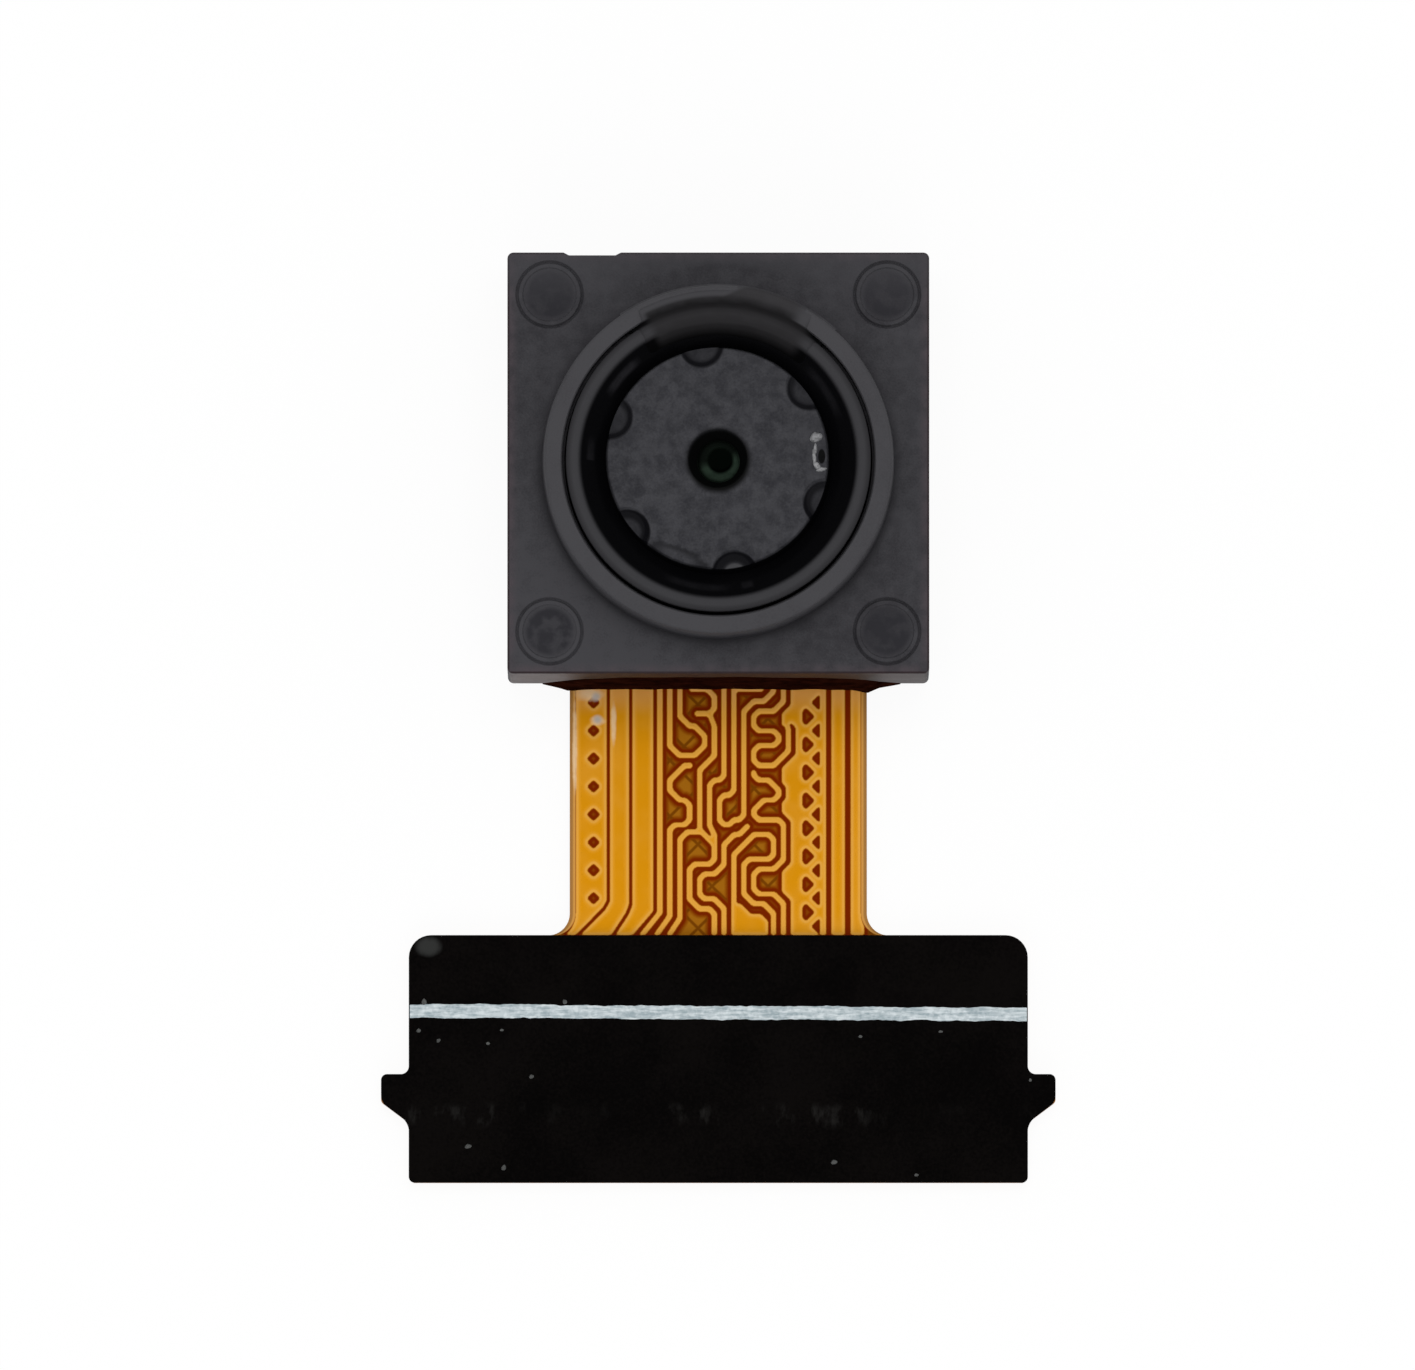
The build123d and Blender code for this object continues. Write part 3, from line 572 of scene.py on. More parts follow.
def makeBarrel(size):
    barrel = turnRings("barrel", size["rings"], steps=256, closed=True)
    notch = turnRings("notch", [
        (hub, size["notchFloor"], 0), (size["notchRadius"] - 0.09, size["notchFloor"], 0.02),
        (size["notchRadius"] + 0.01, 4.59, 0), (size["notchRadius"] + 0.02, 4.7, 0), (hub, 4.7, 0),
    ], steps=64)
    notches = []
    for count in range(size["notchCount"]):
        angle = math.radians(size["notchAngle"] + 360 / size["notchCount"] * count)
        place = (size["notchPlace"] * math.cos(angle), size["notchPlace"] * math.sin(angle), 0)
        notches.append(copyTo(notch, place))
    bpy.data.objects.remove(notch)
    cutter = joinInto(*notches)
    limit = turnRings("limit", [(hub, 4.3, 0), (2.26, 4.3, 0), (2.26, 4.8, 0), (hub, 4.8, 0)], steps=128)
    carve(cutter, limit, "INTERSECT")
    carve(barrel, cutter)
    # the plate sits a hair off the barrel's axis
    editOn(barrel, "VERT")
    work = bmesh.from_edit_mesh(barrel.data)
    for vertex in work.verts:
        vertex.select_set(vertex.co.xy.length < 2.25 and vertex.co.z > 4.45)
    bmesh.update_edit_mesh(barrel.data)
    bpy.ops.transform.translate(value=size["plateShift"])
    editOff()
    return finishPiece(barrel, "lensBarrel", "lens_barrel")


barrelLook = {
    # the funnel's near black is painted shade, and its sheen painted light
    "plateDark": (0.0235, 0.0235, 0.0275), "plateLight": (0.0530, 0.0530, 0.0590), "shadedFunnel": (0.0008, 0.0008, 0.0012),
    "sheen": (0.0200, 0.0195, 0.0225),
    # streaks of light in the funnel: middle and half width in degrees, strength
    "streaks": [(138.5, 12, 0.75), (33, 16, 0.3), (180, 12, 0.35), (-100, 18, 0.25), (-77, 3.5, 0.35)],
    "rim": (0.0400, 0.0395, 0.0430), "rimEdge": (0.0270, 0.0265, 0.0290), "rough": (0.5, 0.62), "shine": 0.04,
    # below: the aperture's black and the notch colours are painted shade and painted light
    "bore": (0.0008, 0.0009, 0.0009), "paintedCrescent": (0.0038, 0.0038, 0.0050), "paintedNotchLight": (0.0620, 0.0620, 0.0660),
    "smear": (0.0060, 0.0060, 0.0070), "smearAngle": -113.0, "smearRadius": 2.13, "chipPlace": (2.08, 0.08),
}


def makeBarrelPlastic(look):
    material, tree, shader, place = startMaterial("dark barrel plastic")
    grain = grainOf(tree, place, 22.0, 1.7, 0.5)
    blotch = noiseOf(tree, place, 3.6, detail=4.0, roughness=0.6)
    split = axesOf(tree, place)
    x, y = split["X"], split["Y"]
    radius = lengthOf(tree, x, y)
    tone = plus(tree, spread(tree, grain["Tone"], 0.38, 0.62, 0, 0.35), spread(tree, blotch, 0.32, 0.68, 0, 0.65))
    colour = blendColour(tree, tone, look["plateDark"], look["plateLight"])
    # painted shade gives each notch a dark inner edge, broader in the lower ones, and a darker floor; in the lower ones
    # the floor also gets painted light
    turned = minus(tree, calc(tree, "ARCTAN2", y, x), math.radians(barrelSize["notchAngle"]))
    turned = calc(tree, "WRAP", turned, math.radians(30), math.radians(-30))
    inNotch = lengthOf(tree, minus(tree, times(tree, radius, calc(tree, "COSINE", turned)), barrelSize["notchPlace"]),
                     times(tree, radius, calc(tree, "SINE", turned)))
    fromInner = minus(tree, inNotch, spread(tree, y, 0.2, -2.1, 0.315, 0.26))
    fromOuter = minus(tree, inNotch, spread(tree, y, 0.2, -2.1, 0.455, 0.495))
    paintedCrescent = times(tree, spread(tree, fromInner, -0.06, 0.05), spread(tree, fromOuter, 0.0, -0.05))
    paintedCrescent = times(tree, paintedCrescent, spread(tree, y, 0.2, -1.4, 0.8, 1.0))
    colour = blendColour(tree, spread(tree, inNotch, 0.47, 0.43, 0, 0.5), colour, look["paintedCrescent"])
    paintedFloorLight = times(tree, spread(tree, fromInner, 0.0, -0.05), spread(tree, y, -1.7, -2.05, 0, 0.8))
    colour = blendColour(tree, paintedFloorLight, colour, look["paintedNotchLight"])
    colour = blendColour(tree, paintedCrescent, colour, look["paintedCrescent"])
    # dark smear round a patch at the plate's lower edge, and a small chip at its right
    around = calc(tree, "ARCTAN2", y, x)
    along = times(tree, minus(tree, around, math.radians(look["smearAngle"])), look["smearRadius"])
    smear = lengthOf(tree, ratio(tree, along, 0.50), ratio(tree, minus(tree, radius, look["smearRadius"]), 0.17))
    smear = plus(tree, smear, spread(tree, blotch, 0.3, 0.7, -0.12, 0.12))
    outline = times(tree, spread(tree, smear, 0.45, 1.05), spread(tree, smear, 1.50, 1.05, 0, 0.6))
    colour = blendColour(tree, outline, colour, look["smear"])
    chipX, chipY = look["chipPlace"]
    chip = lengthOf(tree, ratio(tree, minus(tree, x, chipX), 0.075), ratio(tree, minus(tree, y, chipY), 0.15))
    colour = blendColour(tree, spread(tree, chip, 1.1, 0.85), colour, look["bore"])
    # painted shade: the plate's middle and the aperture's cone are coloured black
    colour = blendColour(tree, spread(tree, radius, 0.72, 0.575), colour, look["bore"])
    # painted shade makes the funnel black, with a faint painted sheen in streaks; then the rim, darker towards its
    # outer edge
    fromPlate = lengthOf(tree, minus(tree, x, barrelSize["plateShift"][0]), minus(tree, y, barrelSize["plateShift"][1]))
    shadedFunnel = look["shadedFunnel"]
    across = times(tree, spread(tree, radius, 2.47, 2.56), spread(tree, radius, 2.68, 2.60))
    across = times(tree, across, spread(tree, blotch, 0.3, 0.6, 0.6, 1.0))
    for middle, half, share in look["streaks"]:
        aside = calc(tree, "ABSOLUTE", minus(tree, around, math.radians(middle)))
        paintedLight = times(tree, spread(tree, aside, math.radians(half), math.radians(half * 0.4), 0, share), across)
        shadedFunnel = blendColour(tree, paintedLight, shadedFunnel, look["sheen"])
    colour = blendColour(tree, spread(tree, fromPlate, 2.225, 2.255), colour, shadedFunnel)
    rim = blendColour(tree, spread(tree, radius, 2.93, 3.03), look["rim"], look["rimEdge"])
    colour = blendColour(tree, spread(tree, radius, 2.74, 2.85), colour, rim)
    tree.links.new(colour, shader.inputs["Base Color"])
    roughen(tree, shader, grain["Tone"], *look["rough"])
    shader.inputs["Specular IOR Level"].default_value = look["shine"]
    setBump(tree, shader, grain["Height"], 0.22, 0.00003)
    return material


lensBarrel = makeBarrel(barrelSize)
dress(lensBarrel, makeBarrelPlastic(barrelLook))
print("barrel done", len(lensBarrel.data.polygons))

# front lens

frontLensSize = {"dome": 0.41, "rise": 0.06, "edge": 1.5, "seat": 4.13, "back": 3.68}


def makeFrontLens(size):
    rings = [(size["edge"], size["back"], 0), (size["edge"], size["seat"], 0.03)]
    for turn in range(0, 90, 6):
        a = math.radians(turn)
        rings.append((size["dome"] * math.cos(a), size["seat"] + size["rise"] * math.sin(a), 0))
    rings += [(0.01, size["seat"] + size["rise"], 0)]
    lens = turnRings("lens", rings, steps=96)
    return finishPiece(lens, "frontLens", "front_lens", smoothAngle=50)


frontLensLook = {
    # the crescent is a painted highlight and the pupil painted shade
    "paintedCrescent": (0.0230, 0.0370, 0.0265), "ring": (0.0042, 0.0058, 0.0046), "pupil": (0.0002, 0.0003, 0.00025),
    "centre": (0.04, 0.02), "pupilRadius": 0.245, "facing": 288.5,
    "tint": (0.55, 1.0, 0.62), "rough": (0.05, 0.12), "shine": 0.003,
}


def makeCoatedLens(look):
    material, tree, shader, place = startMaterial("green coated lens")
    split = axesOf(tree, place)
    alongX = minus(tree, split["X"], look["centre"][0])
    alongY = minus(tree, split["Y"], look["centre"][1])
    radius = lengthOf(tree, alongX, alongY)
    cloud = noiseOf(tree, place, 7.0)
    # the coating shows as a green crescent round the dark pupil: the crescent's brighter side is painted highlight, and
    # the pupil is painted shade of the stop deep inside, seen through the glass
    facing = math.radians(look["facing"])
    toward = plus(tree, times(tree, alongX, math.cos(facing)), times(tree, alongY, math.sin(facing)))
    toward = ratio(tree, toward, highest(tree, radius, 0.01))
    paintedLight = times(tree, spread(tree, toward, -0.35, 0.3), spread(tree, cloud, 0.3, 0.7, 0.7, 1.15))
    ring = blendColour(tree, paintedLight, look["ring"], look["paintedCrescent"])
    outPupil = spread(tree, radius, look["pupilRadius"] - 0.025, look["pupilRadius"] + 0.06)
    colour = blendColour(tree, outPupil, look["pupil"], ring)
    # painted shade round the lens's edge, inside the aperture
    colour = blendColour(tree, spread(tree, radius, 0.35, 0.50), colour, look["pupil"])
    faint = times(tree, spread(tree, radius, 0.45, 0.49), spread(tree, toward, 0.3, -0.4))
    colour = blendColour(tree, faint, colour, look["ring"])
    tree.links.new(colour, shader.inputs["Base Color"])
    roughen(tree, shader, cloud, *look["rough"])
    shader.inputs["Specular Tint"].default_value = (*look["tint"], 1)
    shader.inputs["Specular IOR Level"].default_value = look["shine"]
    return material


frontLens = makeFrontLens(frontLensSize)
dress(frontLens, makeCoatedLens(frontLensLook))
print("front lens done")

# glue that locks the barrel, run over the rim

glueSize = {
    # height over radius, where the glue lies fully on rim, gap and collar
    "drape": [
        (2.50, 4.49), (2.56, 4.66), (2.64, 4.84), (2.74, 4.98), (2.84, 5.035), (2.94, 5.045), (3.02, 5.038),
        (3.09, 5.022), (3.14, 5.012), (3.20, 5.003), (3.32, 4.990), (3.42, 4.968), (3.49, 4.93), (3.535, 4.79),
        (3.56, 4.60),
    ],
    "floor": 4.46, "rimStart": 48.0, "rimEnd": 124.0, "slotStart": 53.5, "slotEnd": 121.5,
    # where the outer half stays bare: the glue ends at this radius
    "bareFrom": 87.0, "bareRadius": 3.42, "under": 4.80,
}


def rise(value, low, high):
    return float(np.interp(value, [low, high], [0, 1]))


def makeGlue(size):
    bpy.ops.mesh.primitive_grid_add(x_subdivisions=180, y_subdivisions=44, size=1)
    glue = bpy.context.object
    radii, heights = zip(*size["drape"])
    for vertex in glue.data.vertices:
        angle = size["rimStart"] + (vertex.co.x + 0.5) * (size["rimEnd"] - size["rimStart"])
        radius = radii[0] + (vertex.co.y + 0.5) * (radii[-1] - radii[0])
        height = float(np.interp(radius, radii, heights))
        height += 0.012 * noise.noise(Vector((angle * 0.09, radius * 1.3, 2.0)))
        # outside the rim the patch is shorter, and over part of the way it leaves the collar's edge bare
        outside = rise(radius, 3.08, 3.16)
        start = size["rimStart"] + outside * (size["slotStart"] - size["rimStart"])
        end = size["rimEnd"] + outside * (size["slotEnd"] - size["rimEnd"])
        inside = min(1, max(0, (angle - start) / 4)) * min(1, max(0, (end - angle) / 4))
        bare = rise(angle, size["bareFrom"] - 3, size["bareFrom"] + 3)
        bare *= rise(radius, size["bareRadius"] - 0.03, size["bareRadius"] + 0.04)
        low = min(height, float(np.interp(radius, [2.5, 2.56, 2.8, 3.1, 3.56], [4.47, 4.60, 4.90, 4.90, 4.62])))
        height = low + (height - low) * inside * inside * (3 - 2 * inside)
        height += (min(height, size["under"]) - height) * bare
        turn = math.radians(angle)
        vertex.co = (radius * math.cos(turn), radius * math.sin(turn), height)
    closeSheet(glue, (1, 1, 0), (0, 0, size["floor"]))
    return finishPiece(glue, "barrelGlue", "barrel_glue", smoothAngle=60)


glueLook = {
    "from": 2.5, "to": 3.5, "tint": (1.0, 0.965, 1.03), "bareTint": (1.0, 0.985, 1.07),
    "rough": (0.25, 0.4), "shine": 0.0,
    # where it shows, in degrees: begins, full, still full, ends
    "rimArc": (52, 58, 114.5, 119), "slotArc": (58.5, 64, 115.5, 118.5),
    # its outer edge steps in from one radius to another between two angles
    "stepArc": (79, 89), "stepRadii": (3.53, 3.29),
    # brightness over radius: cured glue over funnel, rim, gap and collar, and the same places without it; the dark
    # funnel and the dark line over the gap are painted shade, and the rise up the glue's slope is painted light
    "glue": [
        (2.50, 0.0015), (2.54, 0.0045), (2.60, 0.0115), (2.68, 0.0190), (2.78, 0.0235), (2.86, 0.0230), (2.94, 0.0255),
        (3.02, 0.0215), (3.08, 0.0145), (3.14, 0.0112), (3.19, 0.0115), (3.26, 0.0205), (3.34, 0.0335), (3.44, 0.0370),
    ],
    "bare": [
        (2.50, 0.0024), (2.74, 0.0026), (2.84, 0.0380), (2.93, 0.0400), (3.03, 0.0270), (3.08, 0.0040), (3.14, 0.0030),
        (3.19, 0.0500), (3.30, 0.0545),
    ],
}


def makeCuredGlue(look):
    material, tree, shader, place = startMaterial("dark cured glue")
    split = axesOf(tree, place)
    radius = lengthOf(tree, split["X"], split["Y"])
    cloud = noiseOf(tree, place, 2.6, detail=3.0)
    angle = calc(tree, "ARCTAN2", split["Y"], split["X"])

    def onArc(begins, full, stillFull, ends):
        start = spread(tree, angle, math.radians(begins), math.radians(full))
        return times(tree, start, spread(tree, angle, math.radians(ends), math.radians(stillFull)))

    # over the rim from one end to the other, in the slot a little less, and there only as far out as the slot goes
    onRim = onArc(*look["rimArc"])
    stepStart, stepEnd = look["stepArc"]
    slotEdge = spread(tree, angle, math.radians(stepStart), math.radians(stepEnd), *look["stepRadii"])
    inSlot = times(tree, onArc(*look["slotArc"]), spread(tree, minus(tree, radius, slotEdge), 0.05, -0.04))
    outside = spread(tree, radius, 3.13, 3.20)
    present = plus(tree, times(tree, onRim, minus(tree, 1.0, outside)), times(tree, inSlot, outside))
    share = spread(tree, radius, look["from"], look["to"], smooth=False)
    # ramps of painted light and shade over radius, without and with glue
    paintedShadingRamps = []
    for key, tint in (("bare", look["bareTint"]), ("glue", look["tint"])):
        reach = look["to"] - look["from"]
        stops = [((r - look["from"]) / reach, [level * part for part in tint]) for r, level in look[key]]
        paintedShadingRamps.append(rampOf(tree, share, stops))
    colour = blendColour(tree, present, paintedShadingRamps[0], paintedShadingRamps[1])
    colour = blendColour(tree, times(tree, spread(tree, cloud, 0.3, 0.7, 0, 0.15), present), colour, paintedShadingRamps[0])
    tree.links.new(colour, shader.inputs["Base Color"])
    roughen(tree, shader, cloud, *look["rough"])
    shader.inputs["Specular IOR Level"].default_value = look["shine"]
    setBump(tree, shader, cloud, 0.2, 0.00003)
    return material


barrelGlue = makeGlue(glueSize)
dress(barrelGlue, makeCuredGlue(glueLook))
print("glue done")

# front coverlay with the copper showing through as relief

coverlaySize = {
    "top": -4.20, "bottom": -9.35, "halfWidth": 3.0, "flare": 0.45, "base": 0.32, "film": 0.35, "relief": 0.02,
    "columns": 352, "rows": 272, "frameHalf": 4.2, "frameOpening": 3.65, "frameRounding": 0.15,
    # the area that is measured, its cell, how far in cells, and how softly the film bridges the copper
    "fieldX": (-3.60, 3.60), "fieldY": (-9.50, -4.10), "cell": 0.01, "reach": 30, "softness": 0.028,
}


def traceField(node, size):
    # looks straight down on the copper and measures how far each place is from its edge
    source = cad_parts[node].data
    tree = BVHTree.FromPolygons([v.co / mm for v in source.vertices], [tuple(p.vertices) for p in source.polygons])
    cell, reach = size["cell"], size["reach"]
    xs = np.arange(*size["fieldX"], cell)
    ys = np.arange(*size["fieldY"], cell)
    down = Vector((0, 0, -1))
    copper = np.array([[tree.ray_cast(Vector((x, y, 2.0)), down)[0] is not None for x in xs] for y in ys])
    weights = np.exp(-0.5 * (np.arange(-9, 10) * cell / size["softness"]) ** 2)
    weights /= weights.sum()
    soft = np.apply_along_axis(np.convolve, 1, copper.astype(float), weights, "same")
    soft = np.apply_along_axis(np.convolve, 0, soft, weights, "same")
    rounded = soft > 0.5

    def distance(target):
        best = np.full(target.shape, float(reach))
        for step in range(reach):
            for moved in (np.roll(target, step, 1), np.roll(target, -step, 1)):
                best[moved] = np.minimum(best[moved], step)
        final = np.full(target.shape, float(reach))
        for step in range(-reach, reach + 1):
            final = np.minimum(final, np.hypot(np.roll(best, step, 0), step))
        return final * cell

    signed = distance(rounded) * -1 + distance(~rounded)
    return xs, ys, soft, signed


def makeCoverlay(size):
    xs, ys, soft, signed = traceField("front_traces", size)
    bpy.ops.mesh.primitive_grid_add(x_subdivisions=size["columns"], y_subdivisions=size["rows"], size=2)
    skin = bpy.context.object
    count = len(skin.data.vertices)
    points = np.empty(count * 3)
    skin.data.vertices.foreach_get("co", points)
    points = points.reshape(-1, 3)
    y = size["top"] + (1 - points[:, 1]) / 2 * (size["bottom"] - size["top"])
    # the edges flare out to the tail in a fillet
    drop = np.clip(size["bottom"] + size["flare"] - y, 0, size["flare"])
    width = size["halfWidth"] + size["flare"] - np.sqrt(np.maximum(size["flare"] ** 2 - drop ** 2, 0))
    x = points[:, 0] * width

    def sample(field):
        across = np.clip((x - xs[0]) / (xs[1] - xs[0]), 0, len(xs) - 1.001)
        along = np.clip((y - ys[0]) / (ys[1] - ys[0]), 0, len(ys) - 1.001)
        column, row = across.astype(int), along.astype(int)
        u, v = across - column, along - row
        return ((field[row, column] * (1 - u) + field[row, column + 1] * u) * (1 - v)
                + (field[row + 1, column] * (1 - u) + field[row + 1, column + 1] * u) * v)

    lift = sample(soft)
    edgeDistance = sample(signed)
    z = size["film"] + size["relief"] * lift
    skin.data.vertices.foreach_set("co", np.column_stack([x, y, z]).ravel())
    for name, values in (("copperDistance", edgeDistance), ("rimDistance", width - np.abs(x))):
        layer = skin.data.attributes.new(name, "FLOAT", "POINT")
        layer.data.foreach_set("value", values.astype(np.float32))
    # walls down to the base film, and the underside
    closeSheet(skin, (1, 1, 0), (0, 0, size["base"]))
    # frame of the same film under the holder's foot
    half, opening = size["frameHalf"], size["frameOpening"]
    ring = addBlock("ring", (-half, -half, size["base"]), (half, half, size["film"]))
    roundUprights(ring, size["frameRounding"], 2)
    carve(ring, addBlock("opening", (-opening, -opening, 0.2), (opening, opening, 0.5)))
    joinInto(skin, ring)
    return finishPiece(skin, "frontCoverlay", "front_coverlay", smoothAngle=60)


coverlayLook = {
    # the darker colours beside the copper carry painted shade, and the crest colour is a painted highlight
    "window": (0.350, 0.125, 0.0060), "shadedHollow": (0.240, 0.055, 0.0015), "shadedGap": (0.180, 0.0165, 0.0002),
    "brim": (0.40, 0.120, 0.0040),
    "paintedCrestHighlight": (0.770, 0.370, 0.0550), "shoulder": (0.730, 0.310, 0.0160), "broad": (0.690, 0.276, 0.0040),
    "hatch": (0.150, 0.0380, 0.0010), "margin": (0.370, 0.178, 0.0480), "inner": (0.620, 0.300, 0.0680),
    "sheen": (0.860, 0.620, 0.370), "paintedLight": (0.90, 0.44, 0.16), "rough": (0.30, 0.42), "shine": 0.0,
    "paintedSheenShade": [(-2.47, -4.52), (-2.44, -4.98)], "paintedSheenShadeTone": (0.42, 0.41, 0.42),
    # where clear dried glue lies on the film, its pale look a painted sheen: middle and half sizes
    "glueSheenSpots": [
        (-2.62, -4.47, 0.27, 0.14), (-2.44, -5.00, 0.15, 0.10),
        (-2.115, -5.05, 0.055, 0.42), (-2.90, -5.60, 0.05, 0.90),
    ],
}


hatch = {"pitch": 0.4, "start": (-0.410, -4.677)}


def hatchLines(tree, place, pattern, far, near):
    # copper lines crossed at 45 degrees, as a mask
    turned = addNode(tree, "ShaderNodeMapping", {"Vector": place, "Rotation": (0, 0, math.radians(45))}).outputs[0]
    split = addNode(tree, "ShaderNodeSeparateXYZ", {"Vector": turned}).outputs
    startX, startY = pattern["start"]
    startU = (startX - startY) * math.sqrt(0.5)
    startV = (startX + startY) * math.sqrt(0.5)
    nearU = calc(tree, "PINGPONG", minus(tree, split["X"], startU), pattern["pitch"] / 2)
    nearV = calc(tree, "PINGPONG", minus(tree, split["Y"], startV), pattern["pitch"] / 2)
    return highest(tree, spread(tree, nearU, far, near), spread(tree, nearV, far, near))


def makeCoverlayFilm(look):
    material, tree, shader, place = startMaterial("amber film over copper")
    measured = addNode(tree, "ShaderNodeAttribute", attribute_name="copperDistance").outputs["Fac"]
    fromRim = addNode(tree, "ShaderNodeAttribute", attribute_name="rimDistance").outputs["Fac"]
    wobble = noiseOf(tree, place, 5.0, detail=3.0)
    slow = noiseOf(tree, place, 1.4, detail=2.0)
    # colour by distance from the copper's edge: the film's and copper's own colours, with painted shade darkening the
    # gaps beside the copper and painted highlight on the crests along its edges
    stops = [
        (0.0, "window"), (0.10, "window"), (0.24, "shadedHollow"), (0.34, "shadedGap"), (0.445, "shadedGap"), (0.49, "brim"),
        (0.54, "paintedCrestHighlight"), (0.61, "paintedCrestHighlight"), (0.68, "shoulder"), (0.80, "broad"),
    ]
    share = spread(tree, measured, -0.2, 0.2, smooth=False)
    byDistance = rampOf(tree, share, [(where, look[key]) for where, key in stops])
    # crossed lines of the back ground plane, seen through the open windows
    onLine = hatchLines(tree, place, hatch, 0.045, 0.015)
    inWindow = spread(tree, measured, -0.07, -0.12)
    colour = blendColour(tree, times(tree, times(tree, onLine, inWindow), 0.85), byDistance, look["hatch"])
    # slow shift of tone in the film
    drift = times(tree, spread(tree, slow, 0.35, 0.75, 0.0, 0.25), spread(tree, measured, 0.0, 0.03))
    colour = blendColour(tree, drift, colour, look["paintedCrestHighlight"])
    # a little painted light on the copper just below the head
    paintedLightByHead = times(tree, spread(tree, axesOf(tree, place)["Y"], -4.95, -4.40), 0.42)
    colour = blendColour(tree, times(tree, paintedLightByHead, spread(tree, measured, -0.01, 0.03)), colour, look["paintedLight"])
    # bare film along both edges
    atRim = spread(tree, fromRim, 0.13, 0.10)
    bareFilm = blendColour(tree, spread(tree, fromRim, 0.045, 0.085), look["margin"], look["inner"])
    colour = blendColour(tree, atRim, colour, bareFilm)
    # clear dried glue, its pale cream look a painted sheen
    flat = axesOf(tree, place)
    clear = None
    for middleX, middleY, halfX, halfY in look["glueSheenSpots"]:
        awayX = ratio(tree, minus(tree, flat["X"], middleX), halfX)
        awayY = ratio(tree, minus(tree, flat["Y"], middleY), halfY)
        away = plus(tree, times(tree, awayX, awayX), times(tree, awayY, awayY))
        away = plus(tree, away, spread(tree, wobble, 0.3, 0.7, -0.25, 0.25))
        spot = spread(tree, away, 1.6, 0.0, 0.0, 0.78)
        clear = spot if clear is None else highest(tree, clear, spot)
    colour = blendColour(tree, clear, colour, look["sheen"])
    # painted blue-grey shading within the glue's sheen
    for middleX, middleY in look["paintedSheenShade"]:
        awayX, awayY = minus(tree, flat["X"], middleX), minus(tree, flat["Y"], middleY)
        away = lengthOf(tree, awayX, awayY)
        colour = blendColour(tree, spread(tree, away, 0.13, 0.02, 0.0, 0.75), colour, look["paintedSheenShadeTone"])
    tree.links.new(colour, shader.inputs["Base Color"])
    roughen(tree, shader, wobble, *look["rough"])
    shader.inputs["Specular IOR Level"].default_value = look["shine"]
    setBump(tree, shader, wobble, 0.12, 0.00004)
    return material


frontCoverlay = makeCoverlay(coverlaySize)
dress(frontCoverlay, makeCoverlayFilm(coverlayLook))
print("coverlay done", len(frontCoverlay.data.polygons))

# tail plate and its white line

tailSize = {
    "halfWidth": 6.25, "top": -9.35, "bottom": -14.35, "low": 0.35, "high": 0.53, "shoulder": 0.45, "foot": 0.12,
    "earTop": -12.16, "earBottom": -12.72, "earRoot": -13.14, "earReach": 0.56, "earRounding": 0.12,
    "rootRounding": 0.16, "edgeRounding": 0.02,
    "lineMiddle": -10.92, "lineWidth": 0.27, "lineHeight": 0.545,
}


def makeTailPlate(size):
    half = size["halfWidth"]
    plate = addBlock("plate", (-half, size["bottom"], size["low"]), (half, size["top"], size["high"]))
    editOn(plate)
    for level in (size["earTop"], size["earRoot"]):
        bpy.ops.mesh.select_all(action="SELECT")
        bpy.ops.mesh.bisect(plane_co=(0, level, 0), plane_no=(0, 1, 0), threshold=weld)
    for side in (-1, 1):
        pickFaces(plate, lambda centre, normal: normal.x * side > 0.9 and size["earRoot"] < centre.y < size["earTop"])
        bpy.ops.mesh.extrude_region_move(TRANSFORM_OT_translate={"value": (side * size["earReach"], 0, 0)})
        # the lower corner of the ear slopes back to its root
        pickEdges(plate, lambda a, b: all(v.x * side > half + 0.3 and v.y < size["earRoot"] + 0.01 for v in (a, b)))
        bpy.ops.transform.translate(value=(0, size["earBottom"] - size["earRoot"], 0))
    rootLow, rootHigh = size["earRoot"] - 0.1, size["earTop"] + 0.1
    rounds = [
        (size["shoulder"], lambda v: abs(abs(v.x) - half) < touch and abs(v.y - size["top"]) < touch),
        (size["foot"], lambda v: abs(abs(v.x) - half) < touch and abs(v.y - size["bottom"]) < touch),
        (size["earRounding"], lambda v: abs(v.x) > half + 0.3),
        (size["rootRounding"], lambda v: abs(abs(v.x) - half) < touch and rootLow < v.y < rootHigh),
    ]
    for radius, wanted in rounds:
        pickEdges(plate, lambda a, b: abs(a.z - b.z) > 0.1 and wanted(a) and wanted(b))
        bpy.ops.mesh.bevel(offset=radius, segments=8, affect="EDGES")
    pickFaces(plate, lambda centre, normal: normal.z > 0.9)
    bpy.ops.mesh.dissolve_faces()
    pickEdges(plate, lambda a, b: min(a.z, b.z) > size["high"] - touch)
    bpy.ops.mesh.bevel(offset=size["edgeRounding"], segments=2, affect="EDGES")
    editOff()
    return finishPiece(plate, "tailPlate", "tail_stiffener")


